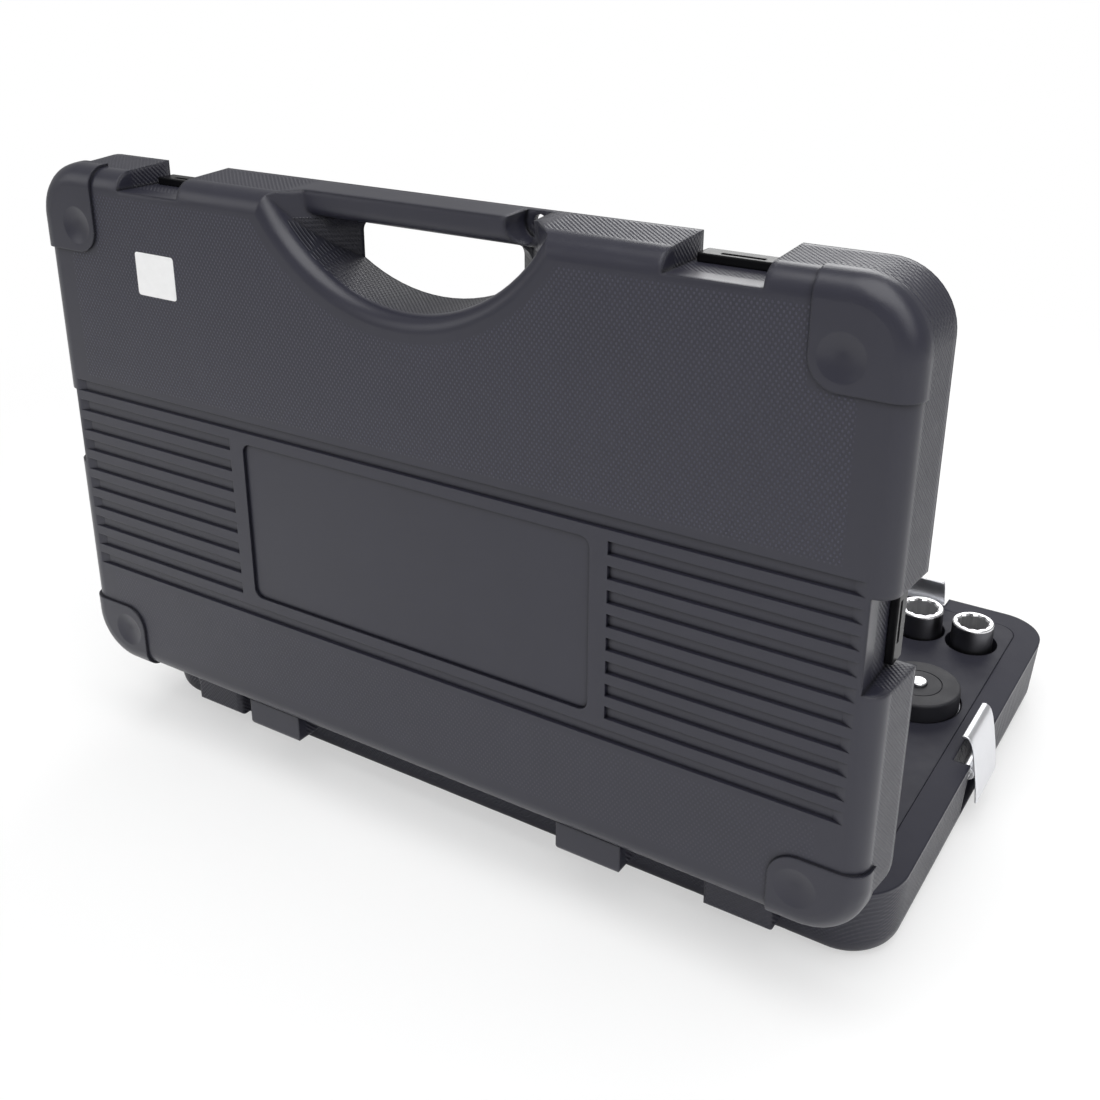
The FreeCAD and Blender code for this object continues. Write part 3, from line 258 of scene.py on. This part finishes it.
    def finish(self, color, rough, normal=None, **sockets):
        for name, value in (("Base Color", color), ("Roughness", rough), ("Normal", normal)):
            if value is not None:
                self.put((*value, 1) if isinstance(value, tuple) else value, self.shader.inputs[name])
        for name, value in sockets.items():
            self.put(value, self.shader.inputs[name.replace("_", " ")])
        return self.material


def shades(color, spread):
    """A darker and a lighter version of a colour."""
    return tuple(c * (1 - spread) for c in color), tuple(c * (1 + spread) for c in color)


def waves(g, pitch, *axes):
    """Product of sine waves along given coordinates: dots on a lattice, or lines for one wave."""
    return g.product(*[g.math("SINE", g.math("MULTIPLY", axis, 2 * math.pi / pitch)) for axis in axes])


class CaseAreas:
    """Where the textures of a case half lie, each as a share from 0 to 1 over its surface."""

    def __init__(self, g, for_lid):
        vector, normal = g.half_coords("X", OPEN) if for_lid else g.half_coords("Y", math.pi)
        self.x, self.y, self.z = g.split(vector)
        upward = g.split(normal)[2]
        self.reach = g.math("SUBTRACT", self.y, FRONT)
        self.side = g.math("ABSOLUTE", self.x)
        self.bow = g.distance(self.x, self.reach, 0.0, BOWL_CENTRE_REACH)
        self.face = g.step(upward, 0.93, 0.985)
        self.rim = g.below(self.z, RIM_HEIGHT, 0.0005)
        self.bar = g.product(g.below(self.side, BAR_SIDE, 0.005), g.below(self.reach, BAR_REACH, 0.002))
        height = LID_HEIGHT if for_lid else BASE_HEIGHT
        self.bowl = g.product(g.below(self.bow, BOWL_WALL_BOW, 0.001),
                              g.above(self.reach, GRIP_BACK_REACH, 0.0006),
                              g.within(self.z, 0.0, height - BOWL_LIP_DEPTH))
        wall = g.step(g.math("ABSOLUTE", upward), 0.45, 0.3)
        self.ribbed = g.product(wall, g.within(self.z, RIB_HEIGHT, height - RIB_SETBACK),
                                g.outside(self.bowl), g.outside(self.bar))
        self.dotted = self.lid_dots(g) if for_lid else g.product(self.face, 0.3)

    def lid_dots(self, g):
        """Dots on the lid's face, clear of the caps, the margins and the bowl's lip, fainter by the hinge."""
        cap = g.product(g.above(self.side, CAP_SIDE, 0.0005), g.outside(g.within(self.reach, *CAP_REACHES)))
        faint = g.product(g.within(self.reach, *FAINT_DOT_REACHES), 0.3)
        rows = g.sum(g.within(self.reach, *DOT_REACHES), faint)
        return g.product(self.face, rows, g.below(self.side, DOT_SIDE, 0.001), g.outside(cap),
                         g.above(self.bow, BOWL_LIP_BOW, 0.00125))

    def softness(self, g):
        """Radius of the softened edges: large on the bar, in the recesses and dishes, small in the band."""
        front = g.product(g.within(self.side, LATCH_SIDE - RECESS_HALF, LATCH_SIDE + RECESS_HALF),
                          g.below(self.reach, RECESS_REACH, 0.002))
        end = g.product(g.within(self.y, MIDDLE - RECESS_HALF, MIDDLE + RECESS_HALF),
                        g.above(self.side, RECESS_SIDE, 0.002))
        dishes = [g.below(g.distance(self.side, self.reach, DISH_SIDE, reach), DISH_FLOOR, 0.0015)
                  for reach in DISH_REACHES]
        band = g.product(g.within(self.reach, *BAND_REACHES), g.below(self.side, BAND_SIDE, 0.002))
        return g.sum(0.0016, g.product(self.bar, 0.0034), g.product(g.sum(front, end), 0.0024),
                     g.product(g.sum(*dishes), 0.004), g.product(band, -0.0011))


def case_relief(g, areas, dots):
    """Height of the fine grain, the dots, the crossed ribs of the outer walls and the knurl of the bowl."""
    x, y, z = areas.x, areas.y, areas.z
    ribs = g.sum(g.product(waves(g, RIB_PITCH, g.sum(x, y, z)), 0.6),
                 g.product(waves(g, RIB_PITCH, g.math("SUBTRACT", g.sum(x, y), z)), 0.25))
    knurl = g.step(waves(g, KNURL_PITCH, g.sum(x, y), z), 0.0, 0.8)
    return g.sum(g.product(g.noise(1700, 4, 0.6), 0.12), g.product(areas.dotted, dots, 0.6),
                 g.product(areas.ribbed, ribs, 0.45), g.product(areas.bowl, knurl))


def case_tint(g, areas, dots, unshaded, color):
    """Uneven grey with scuffs, painted highlights on the dots, and painted shade in the bowl and in creases.
    """
    tint = g.mix(g.noise(24, 3, 0.55), *shades(color, 0.12))
    scuffs = g.step(g.noise(9, 5, 0.7), 0.55, 0.8)
    tint = g.mix(g.product(scuffs, 0.35), tint, shades(color, 0.3)[1])
    # Painted highlight: the dots are lightened in colour.
    tint = g.mix(g.product(areas.dotted, dots, 0.9), tint, shades(color, 1.5)[1])
    # Painted shade: the hollow hand bowl is darkened in colour.
    tint = g.mix(g.product(areas.bowl, 0.5), tint, shades(color, 0.6)[0])
    # Painted shade: the colour is darkened in creases and grooves, where the ambient occlusion share is low.
    return g.mix(unshaded, shades(color, 0.85)[0], tint)


def case_plastic(name, color, for_lid):
    """Moulded grey plastic: fine grain, dots on the faces, ribs on the walls, a knurl in the hand bowl."""
    g = Graph(name)
    areas = CaseAreas(g, for_lid)
    dots = g.step(waves(g, DOT_PITCH, areas.x, g.product(areas.y, 0.75)), 0.25, 0.8)
    # Painted shade: an ambient occlusion share, 1 in the open and falling in creases and grooves, darkens the
    # colour and lowers the specular level there.
    unshaded = g.step(g.openness(0.0035), 0.4, 0.95)
    rough = g.sum(g.ramp(g.noise(60, 4, 0.6), 0.28, 0.36), g.product(areas.dotted, 0.06),
                  g.product(areas.ribbed, 0.14), g.product(areas.rim, 0.2), g.product(areas.bowl, 0.15))
    normal = g.bump(case_relief(g, areas, dots), 0.00045, 0.9, g.soft_edges(areas.softness(g)))
    # Specular level lowered by the painted crease shade, and on the rim.
    shine = g.product(g.ramp(unshaded, 0.06, 0.45), g.ramp(areas.rim, 1.0, 0.3))
    return g.finish(case_tint(g, areas, dots, unshaded, color), rough, normal, Specular_IOR_Level=shine)


def plain_plastic(name, color, rough, grain=1800, depth=0.00006, soft=0.0012, shine=0.4):
    """Plastic with a fine grain and uneven gloss."""
    g = Graph(name)
    gloss = g.ramp(g.noise(90, 4), rough * 0.85, rough * 1.2)
    return g.finish(g.mix(g.noise(40), *shades(color, 0.15)), gloss,
                    g.bump(g.noise(grain, 3), depth, 0.6, g.soft_edges(soft)), Specular_IOR_Level=shine)


def metal(name, color, rough, streak, scale=700, depth=0.000008):
    """Metal with fine streaks along an axis, handling marks and uneven gloss."""
    g = Graph(name)
    lines = g.noise(scale, 4, 0.6, g.stretch(streak))
    wear = g.noise(70, 4, 0.6)
    gloss = g.sum(g.ramp(wear, rough * 0.75, rough * 1.25), g.product(lines, 0.05))
    return g.finish(g.mix(wear, *shades(color, 0.05)), gloss, g.bump(lines, depth, 0.3), Metallic=1.0)


def knurled(name, color, axis_y, axis_z):
    """Bright metal with a diamond knurl round a bar along X."""
    g = Graph(name)
    x, y, z = g.split(g.coords)
    angle = g.math("ARCTAN2", g.math("SUBTRACT", z, axis_z), g.math("SUBTRACT", y, axis_y))
    arc = g.math("MULTIPLY", angle, GRIP_RADIUS)
    cross = waves(g, GRIP_PITCH, g.sum(x, arc), g.math("SUBTRACT", x, arc))
    return g.finish(g.mix(g.noise(60), *shades(color, 0.1)), g.ramp(g.noise(200, 4), 0.22, 0.34),
                    g.bump(g.step(cross, -0.2, 0.7), 0.0004, 0.4), Metallic=1.0)


def paper(name):
    """Coated white paper, faintly uneven."""
    g = Graph(name)
    white = g.mix(g.noise(300), (0.80, 0.80, 0.80), (0.86, 0.86, 0.86))
    return g.finish(white, g.ramp(g.noise(500), 0.35, 0.5), g.bump(g.noise(2500), 0.00003, 0.4))


CASE_GREY = (0.020, 0.020, 0.031)
TRAY_GREY = (0.021, 0.021, 0.031)
LATCH_STEEL = metal("latch_steel", (0.74, 0.745, 0.77), 0.34, (1, 1, 0.05))
PIN_STEEL = metal("pin_steel", (0.6, 0.6, 0.6), 0.3, (0.1, 1, 1))
BRIGHT = metal("bright_chrome", (0.70, 0.70, 0.71), 0.2, (1, 1, 0.1))
# Chrome painted dark: on the socket bodies this colour is a painted reflection of dark surroundings; the
# ratchet head uses it too.
DARKENED_CHROME = metal("darkened_chrome", (0.13, 0.13, 0.14), 0.3, (1, 1, 0.06))
BORE = metal("broached_steel", (0.72, 0.72, 0.73), 0.42, (1, 1, 0.03))
SATIN = metal("satin_steel", (0.5, 0.5, 0.5), 0.34, (1, 0.1, 1))
CATCH_BLACK = plain_plastic("catch_plastic", (0.006, 0.006, 0.007), 0.28, 400, 0.00001, 0.0005, 0.1)
DIAL_BLACK = plain_plastic("dial_plastic", (0.015, 0.015, 0.019), 0.55, 1500, 0.0001, 0.0004, 0.35)
BUTTON_CHROME = metal("button_chrome", (0.74, 0.745, 0.76), 0.16, (1, 1, 1), 300)
LABEL_PAPER = paper("label_paper")


def dress_nodes():
    """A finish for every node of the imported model."""
    grip_low, grip_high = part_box("ratchet_grip")
    chosen = {
        "lid_shell": case_plastic("lid_plastic", CASE_GREY, True),
        "base_shell": case_plastic("base_plastic", CASE_GREY, False),
        "base_tray": plain_plastic("tray_plastic", TRAY_GREY, 0.58, shine=0.25),
        "lid_liner": plain_plastic("liner_plastic", TRAY_GREY, 0.58, shine=0.25),
        "ratchet_grip": knurled("grip_knurl", (0.6, 0.6, 0.61), (grip_low[1] + grip_high[1]) / 2,
                                (grip_low[2] + grip_high[2]) / 2),
        "latch_catches": CATCH_BLACK,
        "blank_label": LABEL_PAPER,
        "reverse_dial": DIAL_BLACK,
        "ratchet_head": DARKENED_CHROME,
        "release_button": BUTTON_CHROME,
        "drive_gear": SATIN,
        "pawl": SATIN,
    }
    for name in ("hinge_pins", "latch_pins", "detent_ball", "cover_screws"):
        chosen[name] = PIN_STEEL
    for name in ("front_latch_left", "front_latch_right", "side_latch_left", "side_latch_right"):
        chosen[name] = LATCH_STEEL
    for name, item in NODES.items():
        item.data.materials.clear()
        item.data.materials.append(chosen.get(name, BRIGHT))


# Shapes

def eased(points, rounds=3):
    """A line with its corners cut: points a quarter and three quarters along each run, again and again."""
    for turn in range(rounds):
        near = 0.75 * points[:-1] + 0.25 * points[1:]
        far = 0.25 * points[:-1] + 0.75 * points[1:]
        inner = np.stack([near, far], 1).reshape(-1, points.shape[1])
        points = np.concatenate([points[:1], inner, points[-1:]])
    return points


def softened(corners, radius, steps=6):
    """A closed polygon with rounded corners: at each, a quadratic curve from one side to the next."""
    corners = np.asarray(corners, float)
    radius = np.broadcast_to(radius, len(corners))[:, None]
    before = np.roll(corners, 1, 0) - corners
    after = np.roll(corners, -1, 0) - corners
    start = corners + before / np.linalg.norm(before, axis=1, keepdims=True) * radius
    end = corners + after / np.linalg.norm(after, axis=1, keepdims=True) * radius
    t = np.linspace(0, 1, steps)[None, :, None]
    curve = (1 - t) ** 2 * start[:, None] + 2 * t * (1 - t) * corners[:, None] + t ** 2 * end[:, None]
    return curve.reshape(-1, 2)


def carried_round(profile, count=96):
    """A round form about Z: every radius and height of a profile, at equal angles."""
    angle = np.linspace(0, 2 * math.pi, count, endpoint=False)
    radius, height = np.asarray(profile, float).T
    return np.stack([radius[:, None] * np.cos(angle), radius[:, None] * np.sin(angle),
                     np.broadcast_to(height[:, None], (len(radius), count))], -1)


def half_round(run, total, edge):
    """Share of the full thickness at a place along a run: a quarter round at each end."""
    depth = np.clip(np.minimum(run, total - run) / edge, 0, 1)
    return np.sqrt(1 - (1 - depth) ** 2)


def stations(total, edge, count):
    """Places along a run, closer at its two ends."""
    ends = edge * (1 - np.cos(np.linspace(0, math.pi / 2, 5)))
    return np.concatenate([ends, np.linspace(edge, total - edge, count)[1:-1], total - ends[::-1]])


def bent_sheet(path, width, thick, edge):
    """Two skins of a bent sheet: its section's line carried along Y, and moved each way along its normal.

    The thickness falls to nothing all round its rim, as a half round.
    """
    run = np.concatenate([[0], np.cumsum(np.linalg.norm(np.diff(path, axis=0), axis=1))])
    along = stations(run[-1], edge, 48)
    line = np.stack([np.interp(along, run, path[:, 0]), np.interp(along, run, path[:, 1])], -1)
    slope = np.gradient(line, along, axis=0)
    normal = np.stack([slope[:, 1], -slope[:, 0]], -1)
    normal /= np.linalg.norm(normal, axis=1, keepdims=True)
    across = stations(width, edge, 14)
    share = np.minimum(half_round(along, run[-1], edge)[:, None], half_round(across, width, edge)[None])
    half = thick / 2 * share
    skins = []
    for side in (-1, 1):
        x = line[:, :1] + side * half * normal[:, :1]
        z = line[:, 1:] + side * half * normal[:, 1:]
        skins.append(np.stack([x, np.broadcast_to(across - width / 2, x.shape), z], -1))
    return skins


def on_open_lid(points):
    """Points of the shut lid's frame, turned about the hinge to the open lid."""
    x, y, z = np.moveaxis(points, -1, 0)
    return np.stack([x, HINGE_Y + y * math.cos(OPEN) + z * math.sin(OPEN),
                     RIM_Z - y * math.sin(OPEN) + z * math.cos(OPEN)], -1)


def grid_faces(shape, wrap, start=0):
    """Corner numbers of the faces between neighbouring points of a grid, which may close on itself."""
    rows, columns = shape[:2]
    a, b = np.meshgrid(np.arange(rows - (not wrap[0])), np.arange(columns - (not wrap[1])), indexing="ij")
    corners = ((a, b), (a + 1, b), (a + 1, b + 1), (a, b + 1))
    return np.stack([start + (i % rows) * columns + j % columns for i, j in corners], -1)


def piece(name, body, nodes, finishes, grids):
    """A closed piece of the scene from grids of points.

    Each grid has its rows by columns of points, whether its rows and columns close on themselves, and the
    finish of its faces, one for all or one for each row.
    """
    points = []
    quads = []
    paints = []
    start = 0
    for grid, wrap, paint in grids:
        faces = grid_faces(grid.shape, wrap, start)
        quads.append(faces.reshape(-1, 4))
        paints.append(np.broadcast_to(np.asarray(paint).reshape(-1, 1), faces.shape[:2]).ravel())
        points.append(grid.reshape(-1, 3))
        start += len(points[-1])
    mesh = bpy.data.meshes.new(name)
    mesh.from_pydata(np.concatenate(points).tolist(), [], np.concatenate(quads).tolist())
    for finish in finishes:
        mesh.materials.append(finish)
    mesh.polygons.foreach_set("material_index", np.concatenate(paints).astype(np.int32))
    shell = bmesh.new()
    shell.from_mesh(mesh)
    bmesh.ops.remove_doubles(shell, verts=shell.verts, dist=1e-7)
    bmesh.ops.recalc_face_normals(shell, faces=shell.faces)
    shell.to_mesh(mesh)
    shell.free()
    mesh.shade_smooth()
    mesh.set_sharp_from_angle(angle=math.radians(32))
    item = bpy.data.objects.new(name, mesh)
    bpy.context.scene.collection.objects.link(item)
    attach(item, body)
    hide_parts(*nodes)
    return item


# Pieces

# A latch's outer line from hook to tab, in millimetres: out from the wall, and up from the parting line.
LATCH_LINE = [(-7.3, 15.4), (-5.0, 16.2), (-2.6, 15.0), (-0.7, 11.0), (0.8, 5.0), (2.1, -2.0), (3.3, -9.0),
              (4.6, -17.0), (5.4, -24.0), (5.8, -28.9)]


def latch(name, angle, x, y):
    """A pressed latch: hook, plate and finger tab in one bent sheet, and a rolled eye round its pin.

    Its line is drawn with the wall at X = 0 and the parting line at Z = 0, then turned to its wall.
    """
    path = eased(np.array(LATCH_LINE) / 1000)
    path[:, 0] -= LATCH_SHEET / 2
    skins = bent_sheet(path, LATCH_WIDTH, LATCH_SHEET, 0.0007)
    half = LATCH_WIDTH / 2
    bore, outer = LATCH_EYE_RADII
    ring = softened([(bore, -half), (outer, -half), (outer, half), (bore, half)], 0.0004)
    eye = carried_round(ring, 40)[..., (0, 2, 1)] + LATCH_PIN
    turn = np.array(Matrix.Rotation(math.radians(angle), 3, "Z")).T
    place = np.array((x, y, RIM_Z))
    grids = [(points @ turn + place, (False, False), 0) for points in skins]
    grids.append((eye @ turn + place, (True, True), 0))
    piece(name + "_sheet", name, [name], [LATCH_STEEL], grids)


def across_flats(angle, sides, width, turn=0.0):
    """Radius of a regular polygon at an angle: half its width over the cosine from the nearest flat."""
    part = 2 * math.pi / sides
    return width / 2 / np.cos((angle - turn + part / 2) % part - part / 2)


def socket(nut):
    """A twelve-point socket: a closed section carried round its axis.

    Outside, its radius is the drive end's, with a ring groove, then the nut end's. The nut hole's is the
    larger of two hexagons, thirty degrees apart, and the drive hole's is a square's.
    """
    name = "socket_%d" % nut
    low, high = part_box(name)
    centre = np.array(((low[0] + high[0]) / 2, (low[1] + high[1]) / 2, low[2]))
    angle = np.linspace(0, 2 * math.pi, 144, endpoint=False)
    length = high[2] - low[2]
    drive = 0.017
    crown = (1.3 * nut + 4.2) / 2000
    ease = 0.1 * (crown - drive)
    hexes = [across_flats(angle, 6, (nut + 0.2) / 1000, turn) for turn in (0, math.pi / 6)]
    star = np.maximum(*hexes)
    square = across_flats(angle, 4, 0.0193)
    ring, shoulder, nut_end, floor = 0.0205, 0.025, 0.029, 0.031
    sunk = drive - 0.0006
    section = [(square + 0.0008, 0), (drive - 0.0012, 0), (drive - 0.0003, 0.0004), (drive, 0.0014),
               (drive, ring), (sunk, ring + 0.0007), (sunk, ring + 0.0019), (drive, ring + 0.0026),
               (drive, shoulder - 0.0003), (drive + ease, shoulder + 0.0004),
               (crown - ease, nut_end - 0.0006), (crown, nut_end + 0.0003),
               (crown, length - 0.0014), (crown - 0.0003, length - 0.0005), (crown - 0.0011, length),
               (np.minimum(star + 0.0009, crown - 0.0012), length), (star, length - 0.0012),
               (star, floor), (square, floor), (square, 0.0008)]
    radius = np.stack([np.broadcast_to(r, angle.shape) for r, z in section])
    height = np.array([z for r, z in section])[:, None] * np.ones_like(angle)
    points = np.stack([radius * np.cos(angle), radius * np.sin(angle), height], -1) + centre
    # Painted reflection: the socket's outside is chrome painted dark, its top rim bright chrome, its bores
    # steel.
    paint = [0] * 12 + [1] * 4 + [2] * 4
    piece(name + "_tool", name, [name], [DARKENED_CHROME, BRIGHT, BORE], [(points, (True, True), paint)])


def dial():
    """The reversing dial: a thick ring with rounded rims and a fine circle sunk in its top."""
    low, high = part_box("reverse_dial")
    centre = np.array(((low[0] + high[0]) / 2, (low[1] + high[1]) / 2, 0))
    rim = (high[0] - low[0]) / 2
    bore, bottom, top = 0.0058, low[2], high[2]
    circle, sunk = 0.0150, top - 0.0006
    corners = [(bore, bottom), (rim, bottom), (rim, top), (circle + 0.0008, top), (circle + 0.0006, sunk),
               (circle + 0.0002, sunk), (circle, top), (bore, top)]
    radii = [0.0004, 0.0008, 0.0018, 0.0001, 0.0001, 0.0001, 0.0001, 0.0006]
    points = carried_round(softened(corners, radii, 8), 128) + centre
    piece("dial_cap", "dial", ["reverse_dial"], [DIAL_BLACK], [(points, (True, True), 0)])


def button():
    """The release button: a stem and a head with a slightly domed top, drawn from pole to pole."""
    low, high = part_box("release_button")
    centre = np.array(((low[0] + high[0]) / 2, (low[1] + high[1]) / 2, 0))
    rim, neck, top = (high[0] - low[0]) / 2, high[2] - 0.005, high[2]
    stem_radius, edge_round, dome_rise = 0.003, 0.0009, 0.0004
    flat = rim - edge_round
    turn = np.linspace(0, math.pi / 2, 7)
    edge = np.stack([flat + edge_round * np.cos(turn), top - dome_rise + edge_round * (np.sin(turn) - 1)], -1)
    share = np.linspace(1, 0, 8)[1:]
    dome = np.stack([flat * share, top - dome_rise * share ** 2], -1)
    stem = [(0, low[2]), (stem_radius, low[2]), (stem_radius, neck), (rim, neck)]
    points = carried_round(np.concatenate([stem, edge, dome]), 64) + centre
    grids = [(points, (False, True), 0)]
    piece("button_cap", "button", ["release_button"], [BUTTON_CHROME], grids)


def label():
    """A blank paper label with rounded corners: one outline at both heights, drawn in to a pole each side."""
    x, y = LABEL_HALF
    outline = softened([(-x, -y), (x, -y), (x, y), (-x, y)], 0.0022, 8)
    rings = [(0, 0), (1, 0), (1, LABEL_THICK), (0.9, LABEL_THICK), (0, LABEL_THICK)]
    heights = [np.full((len(outline), 1), z) for size, z in rings]
    points = np.stack([np.concatenate([outline * size, z], 1) for (size, level), z in zip(rings, heights)])
    points = on_open_lid(points + LABEL_PLACE)
    piece("label_sheet", "lid", ["blank_label"], [LABEL_PAPER], [(points, (False, True), 0)])


def even_loop(loop, count):
    """A closed line with points at equal steps along its length."""
    closed = np.concatenate([loop, loop[:1]])
    run = np.concatenate([[0], np.cumsum(np.linalg.norm(np.diff(closed, axis=0), axis=1))])
    even = np.linspace(0, run[-1], count, endpoint=False)
    return np.stack([np.interp(even, run, closed[:, 0]), np.interp(even, run, closed[:, 1])], -1)


def catch_bar():
    """A catch as a rounded bar along X, outward along -Y, with a slot pressed into its outer face.

    A rounded section is carried along X and shrunk towards its middle at the ends.
    """
    half, deep, tall = 0.022, 0.0045, 0.0127
    slot_half, slot_level, slot_width, slot_depth = 0.0112, 0.0085, 0.0032, 0.0014
    section = even_loop(softened([(0, 0), (deep, 0), (deep, tall), (0, tall)], 0.0008, 4), 120)
    ends = np.array([0, 0, 0.0001, 0.0004, 0.001])
    end_sizes = np.array([0, 0.86, 0.92, 0.97, 1.0])
    straight = np.linspace(-0.020, 0.020, 61)
    along = np.concatenate([ends - half, straight, half - ends[::-1]])
    size = np.concatenate([end_sizes, np.ones_like(straight), end_sizes[::-1]])[:, None, None]
    middle = np.array((deep / 2, tall / 2))
    loops = middle + size * (section - middle)
    in_slot = ((np.abs(along)[:, None] < slot_half) & (loops[..., 0] < 0.0004)
               & (np.abs(loops[..., 1] - slot_level) < slot_width / 2))
    y = loops[..., 0] + slot_depth * in_slot
    return np.stack([np.broadcast_to(along[:, None], y.shape), y, loops[..., 1]], -1)


def catches():
    """The four glossy catches, each in its recess of the lid."""
    bar = catch_bar()
    turned_bar = np.stack([-bar[..., 1], bar[..., 0], bar[..., 2]], -1)
    spots = [bar + (side * LATCH_SIDE, FRONT + CATCH_FACE, PARTING_GAP) for side in (-1, 1)]
    spots.append(turned_bar + (HALF_WIDTH - CATCH_FACE, MIDDLE, PARTING_GAP))
    spots.append(turned_bar * (-1, -1, 1) + (CATCH_FACE - HALF_WIDTH, MIDDLE, PARTING_GAP))
    grids = [(on_open_lid(points), (False, True), 0) for points in spots]
    piece("catch_bars", "lid", ["latch_catches"], [CATCH_BLACK], grids)


# Stage

def floor_white():
    """Matt white, mixed half with plain white to the eye near the case, and all plain white further out."""
    g = Graph("floor_white")
    g.finish(g.mix(g.noise(3), (0.94, 0.94, 0.94), (0.96, 0.96, 0.96)), 0.9, Specular_IOR_Level=0.0)
    x, y, z = g.split(g.coords)
    far = g.step(g.distance(x, y), 0.5, 1.1)
    seen = g.add("ShaderNodeLightPath").outputs["Is Camera Ray"]
    blend = g.add("ShaderNodeMixShader")
    g.put(g.product(g.math("MAXIMUM", far, 0.5), seen), blend.inputs[0])
    g.put(g.shader.outputs[0], blend.inputs[1])
    g.put(g.add("ShaderNodeEmission").outputs[0], blend.inputs[2])
    g.put(blend.outputs[0], g.tree.nodes["Material Output"].inputs["Surface"])
    return g.material


def floor():
    """A wide pale disc under the case, drawn as rings about the origin."""
    radii = np.array([0.0, 0.6, 1.5, 4.0, 12.0, 60.0])
    points = carried_round(np.stack([radii, np.zeros_like(radii)], -1), 64)
    quads = grid_faces(points.shape, (False, True)).reshape(-1, 4)
    mesh = bpy.data.meshes.new("floor")
    mesh.from_pydata(points.reshape(-1, 3).tolist(), [], quads.tolist())
    item = bpy.data.objects.new("floor", mesh)
    bpy.context.scene.collection.objects.link(item)
    mesh.materials.append(floor_white())


def area(name, place, target, size, power):
    """A square soft lamp that faces a point."""
    lamp = bpy.data.lights.new(name, "AREA")
    lamp.size = size
    lamp.energy = power
    item = bpy.data.objects.new(name, lamp)
    item.location = place
    item.rotation_euler = (Vector(target) - Vector(place)).to_track_quat("-Z", "Y").to_euler()
    bpy.context.scene.collection.objects.link(item)


def world():
    """Even white surroundings: full white to the eye, dimmer as a light and in reflections."""
    scene = bpy.context.scene
    scene.world = bpy.data.worlds.new("studio")
    scene.world.use_nodes = True
    tree = scene.world.node_tree
    background = tree.nodes["Background"]
    background.inputs["Color"].default_value = (1, 1, 1, 1)
    path = tree.nodes.new("ShaderNodeLightPath")
    mix = tree.nodes.new("ShaderNodeMapRange")
    mix.inputs["To Min"].default_value = 0.42
    mix.inputs["To Max"].default_value = 1.0
    tree.links.new(path.outputs["Is Camera Ray"], mix.inputs["Value"])
    tree.links.new(mix.outputs["Result"], background.inputs["Strength"])


def camera():
    """The photographed view: place and axes of a fitted camera."""
    data = bpy.data.cameras.new("camera")
    data.sensor_width = 36.0
    data.lens = 42.99
    data.shift_x = -0.01452
    data.shift_y = -0.08136
    data.clip_start = 0.01
    data.clip_end = 200
    item = bpy.data.objects.new("camera", data)
    right = Vector((-0.84655, -0.53220, -0.01096))
    down = Vector((-0.20310, 0.34196, -0.91751))
    ahead = Vector((0.49204, -0.77449, -0.39757))
    matrix = Matrix((right, -down, -ahead)).transposed().to_4x4()
    matrix.translation = Vector((-0.42809, 0.71634, 0.54407))
    item.matrix_world = matrix
    bpy.context.scene.collection.objects.link(item)
    bpy.context.scene.camera = item


dress_nodes()
latch("front_latch_left", -90, -LATCH_SIDE, -HALF_DEPTH)
latch("front_latch_right", -90, LATCH_SIDE, -HALF_DEPTH)
latch("side_latch_left", 180, -HALF_WIDTH, 0)
latch("side_latch_right", 0, HALF_WIDTH, 0)
for nut in SOCKETS:
    socket(nut)
dial()
button()
label()
catches()
floor()
world()
area("top", (-0.5, 0.65, 2.1), (0, 0.1, 0.1), 2.1, 40)
area("key", (-2.0, 1.2, 1.5), (0, 0.1, 0.2), 1.2, 8)
area("fill", (1.8, 1.6, 1.2), (0, 0.1, 0.2), 1.2, 6)
area("back", (0.4, -2.2, 1.4), (0, 0, 0.3), 1.6, 23)
camera()
bpy.context.scene.view_settings.view_transform = "Standard"
